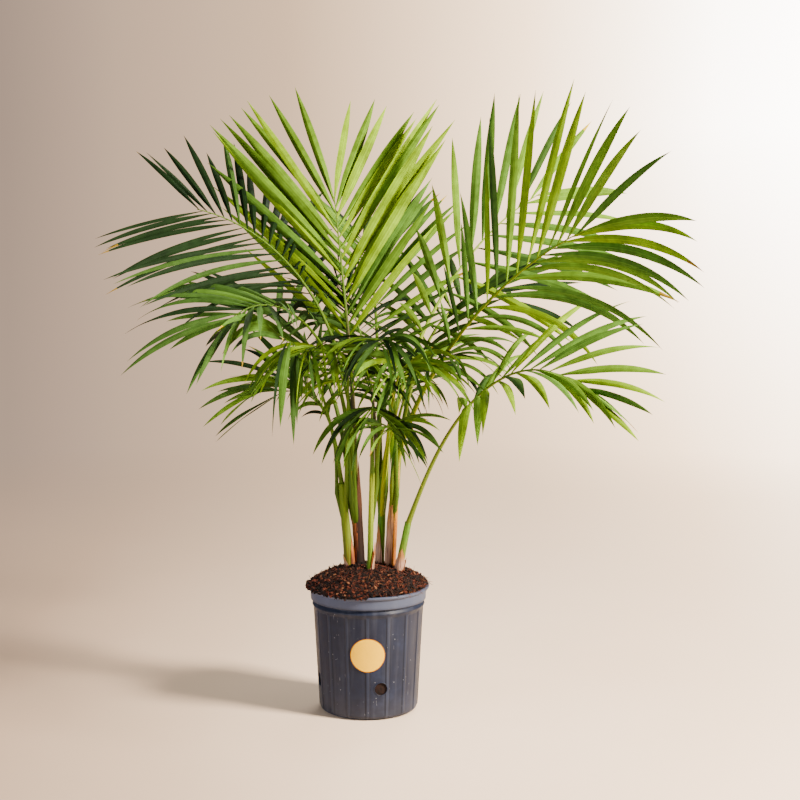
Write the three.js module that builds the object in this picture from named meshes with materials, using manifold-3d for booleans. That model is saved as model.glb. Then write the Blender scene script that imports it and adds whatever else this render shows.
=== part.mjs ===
// A potted majesty palm: a fluted nursery pot, a mound of bark soil, six stems
// and arching feather fronds. Millimetres, +Z up, origin at the centre of the
// pot's flat underside, and the side with the round label faces -Y.
import * as THREE from 'three';
import { mergeVertices } from 'three/addons/utils/BufferGeometryUtils.js';
import Module from 'manifold-3d';

const wasm = await Module();
wasm.setup();

// Clearance kept between pieces that touch on the real plant
const CLEAR = 0.3;

// Pot
const POT_HEIGHT = 265;
const POT_SIDES = 32;
const POT_WALL = 2.2;
const POT_FLOOR = 3;
const FOOT_RADIUS = 96;
const BODY_LOW_RADIUS = 101.5;
const BODY_HIGH_RADIUS = 113;
const BODY_LOW_HEIGHT = 9;
const BODY_HIGH_HEIGHT = 222;
const BEAD_RADIUS = 117;
const GROOVE_RADIUS = 114;
const BAND_RADIUS = 120;
const LIP_RADIUS = 127;
const LIP_THICKNESS = 7;
const RIDGE_COUNT = 16;
const RIDGE_WIDTH = 7;
const RIDGE_PROUD = 1.4;
const HOLE_COUNT = 4;
const HOLE_RADIUS = 13.5;
const HOLE_HEIGHT = 68;
const HOLE_TURN = 15;
const HOLE_SIDES = 12;

// Round paper label, left bare
const LABEL_RADIUS = 35.5;
const LABEL_HEIGHT = 141;
const LABEL_THICKNESS = 0.9;
const LABEL_SIDES = 32;

// Soil
const MOUND_HEIGHT = 38;
const MOUND_SPILL = 4;
const MOUND_RINGS = 5;
const STEM_CUT_HEIGHT = 288;

// Stems: where each leaves the soil, where it ends, and its radius at both
const STEMS = [
  { name: 'stem_left', foot: [-38, 18], tip: [-55, 18, 475], low: 11, high: 7.5, tint: 0x7d8f35 },
  { name: 'stem_brown', foot: [-18, 27], tip: [-27, 22, 468], low: 9, high: 7.5, tint: 0x5d3f24 },
  { name: 'stem_front', foot: [3, -28], tip: [9, -32, 505], low: 6.5, high: 5.5, tint: 0x6f8f2a },
  { name: 'stem_middle', foot: [23, 32], tip: [31, 37, 485], low: 9.5, high: 7.5, tint: 0x6c8530 },
  { name: 'stem_right', foot: [44, 20], tip: [54, 15, 480], low: 10.5, high: 7.5, tint: 0xa9825a },
  { name: 'stem_outer', foot: [62, -6], tip: [83, -14, 400], low: 9, high: 7, tint: 0x8a9440 },
];
const STEM_SIDES = 8;
const STEM_RINGS = 4;

// Fronds: lengths in millimetres, angles in degrees
const FROND_DEFAULTS = {
  level: 1, // how far up its stem it leaves, 1 is the stem's tip
  face: 0, // the side of the stem that it leaves from
  azimuth: 0, // heading, 0 is +X and 90 is +Y
  sweep: 0, // change of heading along the frond
  lean: 5, // angle from upright at the root
  arch: 90, // more lean by the tip
  power: 1.7, // how late the arch comes
  petiole: 200, // bare stalk
  blade: 300, // stretch that bears leaflets
  pairs: 10, // leaflets on each side
  leaf: 280, // the longest leaflet
  width: 21, // of a leaflet
  first: 0.45, // length of the lowest leaflet as a share of the longest
  last: 0.85, // and of the last
  spread: 70, // angle off the rib at the lowest leaflets
  close: 16, // and at the last
  gather: 1.2, // how late the leaflets close in
  skew: 0, // wider angle on one side of the rib, narrower on the other
  lift: 20, // rise of both rows to a shallow V
  roll: 0, // turn of the blade about its rib
  twist: 0, // more roll by the tip
  droop: 0.3, // how far the leaflets hang
};
const FRONDS = [
  { name: 'upright', stem: 'stem_brown', azimuth: 122, sweep: -22, lean: 1, arch: 34, power: 1.41,
    petiole: 295, blade: 330, pairs: 14, leaf: 435, width: 27, first: 0.7, last: 0.65, spread: 39,
    close: 8, gather: 5.33, skew: 1, lift: 5, roll: 53, twist: -58, droop: 0.06 },
  { name: 'left_high', stem: 'stem_brown', level: 0.93, face: 95, azimuth: 178, sweep: 9, lean: 1,
    arch: 76, power: 1.72, petiole: 370, blade: 355, pairs: 14, leaf: 415, width: 21, first: 0.45,
    last: 0.54, spread: 74, close: 37, gather: 2.26, skew: 12, lift: -11, roll: 7, twist: 37,
    droop: 0.2 },
  { name: 'left_mid', stem: 'stem_brown', level: 0.86, face: 235, azimuth: 216, sweep: 16, lean: 2,
    arch: 118, power: 2.0, petiole: 410, blade: 220, pairs: 9, leaf: 270, width: 20, first: 0.49,
    last: 0.92, spread: 63, close: 18, gather: 2.29, skew: 7, lift: 12, roll: -1, twist: 12,
    droop: 0.54 },
  { name: 'left_low', stem: 'stem_left', level: 0.94, face: 95, azimuth: 165, sweep: -7, lean: 7,
    arch: 120, power: 2.6, petiole: 150, blade: 165, pairs: 8, leaf: 230, width: 14, roll: 15,
    droop: 0.4 },
  { name: 'left_small', stem: 'stem_left', level: 0.88, face: 155, azimuth: 188, sweep: 5, lean: 1,
    arch: 135, power: 2.8, petiole: 145, blade: 160, pairs: 7, leaf: 190, width: 13, droop: 0.4 },
  { name: 'left_curl', stem: 'stem_left', azimuth: 234, sweep: 16, lean: 15, arch: 64, power: 2.02,
    petiole: 350, blade: 70, pairs: 5, leaf: 240, width: 16, first: 0.5, last: 1.0, spread: 50,
    close: 20, gather: 0.8, skew: -11, lift: -10, roll: 16, twist: 39, droop: 1.2 },
  { name: 'front_fan', stem: 'stem_front', azimuth: 268, sweep: 5, lean: 3, arch: 113, power: 2.07,
    petiole: 155, blade: 65, pairs: 5, leaf: 170, width: 14, first: 0.97, last: 0.95, spread: 95,
    close: 40, gather: 1.93, skew: -17, lift: -16, roll: -1, twist: 1, droop: 1.47 },
  { name: 'right_front', stem: 'stem_right', azimuth: -24, sweep: -38, lean: 6, arch: 67, power: 0.76,
    petiole: 315, blade: 475, pairs: 14, leaf: 400, width: 25, first: 0.22, last: 0.86, spread: 46,
    close: 8, gather: 2.58, skew: -7, lift: -18, roll: -107, twist: -5, droop: 0.5 },
  { name: 'right_high', stem: 'stem_middle', azimuth: 34, sweep: 7, lean: 9, arch: 60, power: 1.15,
    petiole: 305, blade: 455, pairs: 11, leaf: 345, width: 27, first: 0.42, last: 0.65, spread: 82,
    close: 16, gather: 2.28, skew: 4, lift: 39, roll: -85, twist: 22, droop: 0.26 },
  { name: 'right_low', stem: 'stem_outer', azimuth: -40, sweep: -22, lean: 24, arch: 93, power: 1.65,
    petiole: 295, blade: 405, pairs: 11, leaf: 265, width: 20, first: 1.0, last: 0.66, spread: 91,
    close: 7, gather: 0.81, skew: -24, lift: 8, roll: -40, twist: 15, droop: 0.42 },
  { name: 'centre_fan', stem: 'stem_middle', level: 0.9, face: 275, azimuth: 290, sweep: -17, lean: 13,
    arch: 86, petiole: 250, blade: 180, pairs: 8, leaf: 200, width: 16, droop: 0.8 },
  { name: 'right_small', stem: 'stem_front', level: 0.9, face: 20, azimuth: -75, lean: 2, arch: 130,
    power: 1.5, petiole: 120, blade: 120, pairs: 6, leaf: 160, width: 12, droop: 0.9 },
  { name: 'back_tall', stem: 'stem_middle', level: 0.93, face: 120, azimuth: 92, sweep: 8, lean: 4,
    arch: 75, power: 1.5, petiole: 225, blade: 420, pairs: 13, leaf: 290, lift: 25, droop: 0.2 },
  { name: 'back_left', stem: 'stem_brown', level: 0.8, face: 145, azimuth: 128, sweep: 6, lean: 8,
    arch: 110, petiole: 240, blade: 380, pairs: 11, leaf: 270, lift: 25 },
  { name: 'back_right', stem: 'stem_right', level: 0.92, face: 70, azimuth: 55, sweep: -8, lean: 8,
    arch: 105, petiole: 240, blade: 380, pairs: 11, leaf: 270, lift: 25 },
  { name: 'back_low', stem: 'stem_middle', level: 0.84, face: 60, azimuth: 80, sweep: 10, lean: 14,
    arch: 130, power: 1.9, petiole: 180, blade: 280, leaf: 240, droop: 0.4 },
  { name: 'centre_left', stem: 'stem_brown', level: 0.8, face: 260, azimuth: 245, lean: 3, arch: 105,
    power: 2.4, petiole: 320, blade: 150, pairs: 7, leaf: 200, width: 16, lift: 5, droop: 0.9 },
  { name: 'centre_right', stem: 'stem_right', level: 0.85, face: 300, azimuth: 262, lean: 5, arch: 100,
    power: 2.2, petiole: 330, blade: 150, pairs: 7, leaf: 190, width: 15, lift: 5, droop: 0.8 },
  { name: 'inner_left', stem: 'stem_left', level: 0.97, face: 320, azimuth: 285, sweep: -20, lean: 2,
    arch: 85, power: 2.0, petiole: 200, blade: 150, pairs: 6, leaf: 190, width: 14, spread: 75,
    close: 20, lift: 5, droop: 0.9 },
  { name: 'inner_right', stem: 'stem_right', level: 0.96, face: 250, azimuth: -50, sweep: 10, lean: 4,
    arch: 80, power: 2.0, petiole: 200, blade: 160, pairs: 6, leaf: 200, width: 14, spread: 75,
    close: 20, lift: 5, droop: 0.7 },
  { name: 'inner_back', stem: 'stem_middle', level: 0.97, face: 170, azimuth: 120, sweep: 10, lean: 3,
    arch: 45, power: 1.8, petiole: 200, blade: 240, pairs: 7, leaf: 220, width: 15, spread: 75,
    close: 20, lift: 10, droop: 0.5 },
];
const RIB_STEPS = 12;
const RIB_SIDES = 3;
const RIB_TIP_RADIUS = 2;
const HEEL = 12;
const LEAF_STEPS = 6;
const STRAIGHT_DROOP = 0.45;
const LEAF_THICKNESS_SHARE = 1 / 85;
const LEAF_TILT = (14 * Math.PI) / 180;
const LEAF_SIDES = 3;
const THICK_LEAF_FROM = 260;
const ANGLE_JITTER = 5;
const UPRIGHT_HOLD = 0.8;
const SHORT_LEAF_WIDTH = 0.35;
const SECOND_TRIES = [0, 7, -7, 14, -14];

const UP = new THREE.Vector3(0, 0, 1);
const mix = THREE.MathUtils.lerp;
const radians = THREE.MathUtils.degToRad;

// A repeatable number from 0 to 1
function chance(seed, index) {
  const value = Math.sin(seed * 12.9898 + index * 78.233) * 43758.5453;
  return value - Math.floor(value);
}

// A closed solid from a three.js geometry, with its faces pointing out
function solidOf(geometry) {
  geometry.deleteAttribute('normal');
  geometry.deleteAttribute('uv');
  const merged = mergeVertices(geometry, 1e-4);
  const vertProperties = new Float32Array(merged.attributes.position.array);
  const triVerts = new Uint32Array(merged.index.array);
  const solid = new wasm.Manifold(new wasm.Mesh({ numProp: 3, vertProperties, triVerts }));
  if (solid.volume() > 0) {
    return solid;
  }
  triVerts.reverse();
  return new wasm.Manifold(new wasm.Mesh({ numProp: 3, vertProperties, triVerts }));
}

// The largest body of a solid, without loose scraps
function largest(solid) {
  return solid.decompose().reduce((best, piece) => (piece.volume() > best.volume() ? piece : best));
}

function meshOf(name, solid, material) {
  const { vertProperties, triVerts } = solid.getMesh();
  const geometry = new THREE.BufferGeometry();
  geometry.setAttribute('position', new THREE.BufferAttribute(vertProperties, 3));
  geometry.setIndex(new THREE.BufferAttribute(triVerts, 1));
  geometry.computeVertexNormals();
  const mesh = new THREE.Mesh(geometry, material);
  mesh.name = name;
  return mesh;
}

// A profile of [radius, height] corners turned about the upright axis
function turned(profile, sides) {
  const points = profile.map(([radius, height]) => new THREE.Vector2(radius, height));
  return solidOf(new THREE.LatheGeometry(points, sides).rotateX(Math.PI / 2));
}

// Radius of the plain pot wall at a height
function bodyRadius(height) {
  const share = (height - BODY_LOW_HEIGHT) / (BODY_HIGH_HEIGHT - BODY_LOW_HEIGHT);
  return mix(BODY_LOW_RADIUS, BODY_HIGH_RADIUS, share);
}

function makePot() {
  const lipFoot = POT_HEIGHT - LIP_THICKNESS;
  const grooveTop = BODY_HIGH_HEIGHT + 14;
  const shell = turned([
    [0, 0],
    [FOOT_RADIUS, 0],
    [FOOT_RADIUS + 3.5, 2.5],
    [BODY_LOW_RADIUS, BODY_LOW_HEIGHT],
    [BODY_HIGH_RADIUS, BODY_HIGH_HEIGHT],
    [BEAD_RADIUS, BODY_HIGH_HEIGHT + 1],
    [BEAD_RADIUS, BODY_HIGH_HEIGHT + 9],
    [GROOVE_RADIUS, BODY_HIGH_HEIGHT + 10],
    [GROOVE_RADIUS, grooveTop],
    [BAND_RADIUS, grooveTop + 0.5],
    [BAND_RADIUS + 1, lipFoot],
    [LIP_RADIUS, lipFoot + 1],
    [LIP_RADIUS, POT_HEIGHT],
    [BAND_RADIUS - POT_WALL, POT_HEIGHT],
    [GROOVE_RADIUS - POT_WALL, BODY_HIGH_HEIGHT + 10],
    [BODY_LOW_RADIUS - POT_WALL, POT_FLOOR + 6],
    [FOOT_RADIUS - POT_WALL, POT_FLOOR],
    [0, POT_FLOOR],
  ], POT_SIDES);

  const ridges = [];
  const ridgeFoot = BODY_LOW_HEIGHT + 3;
  const ridgeLength = BODY_HIGH_HEIGHT + 2 - ridgeFoot;
  const slope = Math.atan2(BODY_HIGH_RADIUS - BODY_LOW_RADIUS, BODY_HIGH_HEIGHT - BODY_LOW_HEIGHT);
  for (let i = 0; i < RIDGE_COUNT; i += 1) {
    const ridge = new THREE.BoxGeometry(RIDGE_WIDTH, 2 * RIDGE_PROUD, ridgeLength);
    ridge.rotateX(slope);
    ridge.translate(0, -bodyRadius(ridgeFoot + ridgeLength / 2), ridgeFoot + ridgeLength / 2);
    ridge.rotateZ((i * 2 * Math.PI) / RIDGE_COUNT);
    ridges.push(solidOf(ridge));
  }

  const holes = [];
  for (let i = 0; i < HOLE_COUNT; i += 1) {
    const hole = new THREE.CylinderGeometry(HOLE_RADIUS, HOLE_RADIUS, 2 * HOLE_RADIUS, HOLE_SIDES);
    hole.translate(0, -bodyRadius(HOLE_HEIGHT), HOLE_HEIGHT);
    hole.rotateZ(radians(HOLE_TURN) + (i * 2 * Math.PI) / HOLE_COUNT);
    holes.push(solidOf(hole));
  }
  return wasm.Manifold.union([shell, ...ridges]).subtract(wasm.Manifold.union(holes));
}

function makeLabel() {
  const low = LABEL_HEIGHT - LABEL_RADIUS - 2;
  const high = LABEL_HEIGHT + LABEL_RADIUS + 2;
  const sides = POT_SIDES * 2;
  const flat = Math.cos(Math.PI / sides);
  const inner = (height) => (bodyRadius(height) + RIDGE_PROUD + CLEAR) / flat;
  const band = turned([
    [inner(low), low],
    [inner(low) + LABEL_THICKNESS, low],
    [inner(high) + LABEL_THICKNESS, high],
    [inner(high), high],
    [inner(low), low],
  ], sides);
  const disc = new THREE.CylinderGeometry(LABEL_RADIUS, LABEL_RADIUS, BODY_HIGH_RADIUS, LABEL_SIDES);
  disc.translate(0, -BODY_HIGH_RADIUS, LABEL_HEIGHT);
  return band.intersect(solidOf(disc));
}

// Height of the soil at a distance from the axis
function moundHeight(radius) {
  const share = Math.min(radius / (BAND_RADIUS + MOUND_SPILL), 1);
  return POT_HEIGHT + CLEAR + MOUND_HEIGHT * (1 - share * share) ** 0.85;
}

function makeSoil(stemSockets) {
  const wall = POT_WALL + CLEAR;
  const edge = BAND_RADIUS - POT_WALL + MOUND_SPILL;
  const profile = [
    [0, POT_FLOOR + CLEAR],
    [FOOT_RADIUS - wall, POT_FLOOR + CLEAR],
    [BODY_LOW_RADIUS - wall, POT_FLOOR + 6],
    [GROOVE_RADIUS - wall, BODY_HIGH_HEIGHT + 10],
    [BAND_RADIUS - wall - 0.1, POT_HEIGHT + CLEAR],
    [edge, POT_HEIGHT + CLEAR],
  ];
  for (let i = 0; i < MOUND_RINGS; i += 1) {
    const radius = edge * (1 - i / MOUND_RINGS) - 1;
    profile.push([radius, moundHeight(radius)]);
  }
  profile.push([0, moundHeight(0)]);
  return turned(profile, POT_SIDES).subtract(wasm.Manifold.union(stemSockets));
}

// A round limb along a row of { at, along, side, up } stations
function limb(stations, radiusAt, sides) {
  const rings = stations.length - 1;
  const geometry = new THREE.CylinderGeometry(1, 1, 1, sides, rings);
  const position = geometry.attributes.position;
  for (let i = 0; i < position.count; i += 1) {
    const share = position.getY(i) + 0.5;
    const index = Math.round(share * rings);
    const { at, side, up } = stations[index];
    const radius = radiusAt(share);
    const point = at.clone();
    point.addScaledVector(side, radius * position.getX(i));
    point.addScaledVector(up, radius * position.getZ(i));
    position.setXYZ(i, point.x, point.y, point.z);
  }
  return solidOf(geometry);
}

function stemLine(stem) {
  const foot = new THREE.Vector3(stem.foot[0], stem.foot[1], STEM_CUT_HEIGHT);
  return { foot, tip: new THREE.Vector3(...stem.tip) };
}

// A stem has level cuts at its foot and tip
function makeStem(stem, grow = 0) {
  const { foot, tip } = stemLine(stem);
  const side = new THREE.Vector3(1, 0, 0);
  const up = new THREE.Vector3(0, 1, 0);
  const low = foot.clone().addScaledVector(UP, -grow);
  const high = tip.clone().addScaledVector(UP, grow);
  const stations = [];
  for (let i = 0; i <= STEM_RINGS; i += 1) {
    stations.push({ at: low.clone().lerp(high, i / STEM_RINGS), side, up });
  }
  return limb(stations, (share) => mix(stem.low, stem.high, share) + grow, STEM_SIDES);
}

// Direction of the rib and the blade's own axes at a share of the frond's length
function frameAt(frond, share) {
  const lean = radians(frond.lean + frond.arch * share ** frond.power);
  const heading = radians(frond.azimuth + frond.sweep * share);
  const roll = radians(frond.roll + frond.twist * share);
  const out = new THREE.Vector3(Math.cos(heading), Math.sin(heading), 0);
  const along = out.clone().multiplyScalar(Math.sin(lean)).addScaledVector(UP, Math.cos(lean));
  const level = new THREE.Vector3(out.y, -out.x, 0);
  const above = out.clone().multiplyScalar(-Math.cos(lean)).addScaledVector(UP, Math.sin(lean));
  const side = level.clone().multiplyScalar(Math.cos(roll)).addScaledVector(above, Math.sin(roll));
  const up = above.clone().multiplyScalar(Math.cos(roll)).addScaledVector(level, -Math.sin(roll));
  return { along, side, up };
}

// Stations from the root to the tip of a frond's rib
function ribLine(frond) {
  const stem = STEMS.find(({ name }) => name === frond.stem);
  const { foot, tip } = stemLine(stem);
  const at = foot.clone().lerp(tip, frond.level);
  if (frond.level < 1) {
    const reach = mix(stem.low, stem.high, frond.level) + frond.thick;
    at.x += reach * Math.cos(radians(frond.face));
    at.y += reach * Math.sin(radians(frond.face));
  }
  const length = frond.petiole + frond.blade;
  const stations = [{ at: at.clone(), ...frameAt(frond, 0) }];
  for (let i = 0; i < RIB_STEPS; i += 1) {
    const { along } = frameAt(frond, (i + 0.5) / RIB_STEPS);
    at.addScaledVector(along, length / RIB_STEPS);
    stations.push({ at: at.clone(), ...frameAt(frond, (i + 1) / RIB_STEPS) });
  }
  return stations;
}

function pointOn(stations, share) {
  const index = Math.min(Math.floor(share * RIB_STEPS), RIB_STEPS - 1);
  return stations[index].at.clone().lerp(stations[index + 1].at, share * RIB_STEPS - index);
}

// The stalk, with a heel that starts inside its stem
function makePetiole(frond, grow = 0) {
  const stem = STEMS.find(({ name }) => name === frond.stem);
  const { foot, tip } = stemLine(stem);
  const heel = foot.clone().lerp(tip, frond.level);
  heel.addScaledVector(UP, -HEEL);
  const split = frond.petiole / (frond.petiole + frond.blade);
  const steps = Math.max(Math.round(split * RIB_STEPS), 2);
  const stations = [{ at: heel, ...frameAt(frond, 0) }];
  for (let i = 0; i <= steps; i += 1) {
    const share = (split * i) / steps;
    stations.push({ at: pointOn(frond.line, share), ...frameAt(frond, share) });
  }
  const last = stations[stations.length - 1];
  last.at.addScaledVector(last.along, grow - CLEAR);
  const slim = mix(frond.thick, RIB_TIP_RADIUS, split);
  return limb(stations, (share) => mix(frond.thick, slim, share) + grow, RIB_SIDES);
}

// The stretch of rib that bears the leaflets
function makeRib(frond, grow = 0) {
  const split = frond.petiole / (frond.petiole + frond.blade);
  const steps = Math.max(Math.round((1 - split) * RIB_STEPS), 2);
  const stations = [];
  for (let i = 0; i <= steps; i += 1) {
    const share = mix(split, 1, i / steps);
    stations.push({ at: pointOn(frond.line, share), ...frameAt(frond, share) });
  }
  stations[0].at.addScaledVector(stations[0].along, -grow);
  const slim = mix(frond.thick, RIB_TIP_RADIUS, split);
  return limb(stations, (share) => mix(slim, RIB_TIP_RADIUS, share) + grow, RIB_SIDES);
}

// Width of a leaflet along its length, as a share of the widest
function leafWidth(share) {
  const swell = Math.min(0.2 + 2.2 * share, 1);
  const narrow = 1 - Math.max((share - 0.55) / 0.45, 0) ** 1.9;
  return swell * narrow;
}

// A leaflet: a three-sided blade, folded along its middle, that bends down as it runs out
function makeLeaflet(frond, index, hand, turn, grow = 0) {
  const key = index * 2 + (hand > 0 ? 1 : 0);
  const place = (index + 0.5 + 0.25 * hand) / frond.pairs;
  const share = (frond.petiole + frond.blade * place) / (frond.petiole + frond.blade);
  const { along, side, up } = frameAt(frond, share);
  const wobble = (offset) => (chance(frond.seed + offset, key) - 0.5) * 2 * ANGLE_JITTER;
  const opening = mix(frond.spread, frond.close, place ** frond.gather) + hand * frond.skew;
  const angle = radians(opening + wobble(0) + turn);
  const lift = radians(frond.lift + wobble(3));
  const outward = side.clone().multiplyScalar(hand * Math.cos(lift)).addScaledVector(up, Math.sin(lift));
  const start = along.clone().multiplyScalar(Math.cos(angle)).addScaledVector(outward, Math.sin(angle));

  let length = frond.leaf * mix(frond.first, 1, Math.min(place / 0.4, 1));
  length *= mix(1, frond.last, Math.max((place - 0.5) / 0.5, 0));
  length *= 1 - 0.12 * chance(frond.seed + 7, key);
  let droop = frond.droop * (1 + 1.5 * (1 - place)) * (0.6 + 0.8 * chance(frond.seed + 11, key));
  droop *= 1 - UPRIGHT_HOLD * Math.max(start.z, 0);

  const at = pointOn(frond.line, share);
  const line = [{ at: at.clone(), heading: start }];
  for (let i = 0; i < LEAF_STEPS; i += 1) {
    const bend = droop * ((i + 0.5) / LEAF_STEPS) ** 1.5;
    const heading = start.clone().addScaledVector(UP, -bend).normalize();
    at.addScaledVector(heading, (length + grow) / LEAF_STEPS);
    line.push({ at: at.clone(), heading });
  }

  // A triangle of radius 1 is 2 cos 30 wide and 1.5 deep, and the cone narrows it by 1 - run
  const breadth = frond.width * mix(SHORT_LEAF_WIDTH, 1, length / frond.leaf);
  const widest = breadth / (2 * Math.cos(Math.PI / 6));
  const deepest = (length * LEAF_THICKNESS_SHARE) / 1.5;
  const rings = frond.droop > STRAIGHT_DROOP ? 3 : 2;
  const geometry = new THREE.ConeGeometry(1, 1, LEAF_SIDES, rings);
  const position = geometry.attributes.position;
  for (let i = 0; i < position.count; i += 1) {
    const run = position.getY(i) + 0.5;
    const { at: middle, heading } = line[Math.round(run * LEAF_STEPS)];
    const flat = along.clone().addScaledVector(heading, -along.dot(heading)).normalize();
    const upper = new THREE.Vector3().crossVectors(flat, heading);
    if (upper.dot(up) < 0) {
      upper.negate();
    }
    const across = flat.clone().multiplyScalar(Math.cos(LEAF_TILT));
    across.addScaledVector(upper, Math.sin(LEAF_TILT));
    const face = upper.clone().multiplyScalar(Math.cos(LEAF_TILT));
    face.addScaledVector(flat, -Math.sin(LEAF_TILT));
    const point = middle.clone();
    if (run < 1) {
      const half = (widest * leafWidth(run) + 2 * grow) / (1 - run);
      const rise = (deepest * (1 - 0.5 * run) + 2 * grow) / (1 - run);
      point.addScaledVector(across, half * position.getX(i));
      point.addScaledVector(face, rise * position.getZ(i));
    }
    position.setXYZ(i, point.x, point.y, point.z);
  }
  return solidOf(geometry);
}

function boxesMeet(a, b) {
  return [0, 1, 2].every((k) => a.min[k] <= b.max[k] && b.min[k] <= a.max[k]);
}

function meets(solid, others) {
  const box = solid.boundingBox();
  return others.some((other) => boxesMeet(box, other.box) && !solid.intersect(other.solid).isEmpty());
}

const plastic = new THREE.MeshStandardMaterial({ color: 0x3f434f, roughness: 0.5, metalness: 0 });
const paper = new THREE.MeshStandardMaterial({ color: 0xf7c96e, roughness: 0.6, metalness: 0 });
const bark = new THREE.MeshStandardMaterial({ color: 0x3c2015, roughness: 0.95, metalness: 0 });
const stalk = new THREE.MeshStandardMaterial({ color: 0x6d8f24, roughness: 0.5, metalness: 0 });
const leafGreen = new THREE.MeshStandardMaterial({ color: 0x4f8a1c, roughness: 0.5, metalness: 0 });

const stemsGrown = STEMS.map((stem) => makeStem(stem, CLEAR));
const palm = new THREE.Group();
palm.add(meshOf('pot', makePot(), plastic));
palm.add(meshOf('label', makeLabel(), paper));
palm.add(meshOf('soil', makeSoil(stemsGrown), bark));

const taken = [];
function take(solid) {
  taken.push({ solid, box: solid.boundingBox() });
}

for (const stem of STEMS) {
  const solid = makeStem(stem);
  const skin = new THREE.MeshStandardMaterial({ color: stem.tint, roughness: 0.6, metalness: 0 });
  take(solid);
  palm.add(meshOf(stem.name, solid, skin));
}

const fronds = FRONDS.map((values, index) => {
  const frond = { ...FROND_DEFAULTS, ...values, seed: index + 1 };
  frond.thick = frond.leaf > THICK_LEAF_FROM ? 6.5 : 5;
  frond.line = ribLine(frond);
  return frond;
});

// Stalks come first, each cut clear of the stems and of the stalks before it
const stalksGrown = [];
for (const frond of fronds) {
  const cutters = wasm.Manifold.union([...stemsGrown, ...stalksGrown]);
  const solid = largest(makePetiole(frond).subtract(cutters));
  stalksGrown.push(makePetiole(frond, CLEAR));
  take(solid);
  palm.add(meshOf(`petiole_${frond.name}`, solid, stalk));
}

// Then every rib, and then the leaflets, each clear of all other pieces
for (const frond of fronds) {
  frond.rib = makeRib(frond);
  take(frond.rib);
}
for (const frond of fronds) {
  const others = taken.filter(({ solid }) => solid !== frond.rib);
  const leaflets = [];
  for (let index = 0; index < frond.pairs; index += 1) {
    for (const hand of [1, -1]) {
      const turn = SECOND_TRIES.find((change) => {
        const grown = makeLeaflet(frond, index, hand, change, CLEAR);
        return !meets(grown, others);
      });
      if (turn !== undefined) {
        leaflets.push(makeLeaflet(frond, index, hand, turn));
      }
    }
  }
  for (const leaflet of leaflets) {
    take(leaflet);
  }
  const blade = largest(wasm.Manifold.union([frond.rib, ...leaflets]));
  palm.add(meshOf(`frond_${frond.name}`, blade, leafGreen));
}

export default palm;
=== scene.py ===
# %% [markdown]
# # A potted majesty palm
#
# This lesson dresses a palm in a nursery pot. The frame holds the plant's plain solids, in metres,
# with +Z up and the origin under the pot. Each piece below is made in its own place in that frame,
# so nothing has to be moved or fitted afterwards.

# %% Load the frame
from math import atan2, cos, exp, hypot, pi, radians, sin, sqrt
import bmesh
import bpy
import numpy as np
from mathutils import Matrix, Vector, noise


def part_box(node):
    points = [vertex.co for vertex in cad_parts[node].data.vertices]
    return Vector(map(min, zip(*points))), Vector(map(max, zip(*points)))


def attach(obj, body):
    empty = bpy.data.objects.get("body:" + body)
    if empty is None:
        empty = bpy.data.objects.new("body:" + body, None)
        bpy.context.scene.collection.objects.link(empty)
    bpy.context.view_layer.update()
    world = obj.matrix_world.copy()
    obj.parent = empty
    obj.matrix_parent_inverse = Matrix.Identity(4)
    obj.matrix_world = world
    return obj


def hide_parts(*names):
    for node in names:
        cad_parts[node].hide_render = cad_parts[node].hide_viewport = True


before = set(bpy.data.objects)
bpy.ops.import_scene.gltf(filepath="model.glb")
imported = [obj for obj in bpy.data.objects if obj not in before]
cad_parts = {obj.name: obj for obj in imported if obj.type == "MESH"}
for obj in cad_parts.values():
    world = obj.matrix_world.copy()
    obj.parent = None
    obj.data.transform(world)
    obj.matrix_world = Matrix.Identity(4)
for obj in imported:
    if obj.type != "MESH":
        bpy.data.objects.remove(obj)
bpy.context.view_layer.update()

# %% [markdown]
# ## Camera
#
# The photograph looks slightly down on the plant from about four metres. The lens follows from the
# focal length in pixels, because a sensor 36 mm wide covers the image's 800 pixels.

# %% Camera
IMAGE_SIDE = 800
FOCAL_PIXELS = 1962
SENSOR_MM = 36
CAMERA_PLACE = (0.066, -4.0, 1.21)
CAMERA_PITCH = radians(7.94)


def put(name, data):
    """A new object in the scene."""
    made = bpy.data.objects.new(name, data)
    bpy.context.scene.collection.objects.link(made)
    return made


camera_data = bpy.data.cameras.new("camera")
camera_data.sensor_width = SENSOR_MM
camera_data.lens = FOCAL_PIXELS / IMAGE_SIDE * SENSOR_MM
camera = put("camera", camera_data)
camera.location = CAMERA_PLACE
camera.rotation_euler = (pi / 2 - CAMERA_PITCH, 0, 0)
bpy.context.scene.camera = camera
print("camera lens", round(camera_data.lens, 1), "mm")

# %% [markdown]
# ## Helpers for materials
#
# A material is a small graph of nodes. One function adds a node, sets its plain inputs and links
# the others. The rest are short names for the nodes that turn up most, so that each finish below
# reads like a recipe.


# %% Node helpers
def srgb(code):
    """A colour written as six hex digits, as the linear colour that shaders want."""
    parts = [int(code[i : i + 2], 16) / 255 for i in (0, 2, 4)]
    return tuple(p / 12.92 if p <= 0.04045 else ((p + 0.055) / 1.055) ** 2.4 for p in parts) + (1,)


def feed(tree, socket, value):
    """Links a socket to another node's socket, or sets it to a value or to six hex digits."""
    if isinstance(value, bpy.types.NodeSocket):
        tree.links.new(value, socket)
    else:
        socket.default_value = srgb(value) if isinstance(value, str) else value


def add(tree, kind, inputs=None, **settings):
    """Adds a shader node with its settings, and feeds its inputs."""
    made = tree.nodes.new("ShaderNode" + kind)
    for name, value in settings.items():
        setattr(made, name, value)
    for name, value in (inputs or {}).items():
        feed(tree, made.inputs[name], value)
    return made


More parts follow.
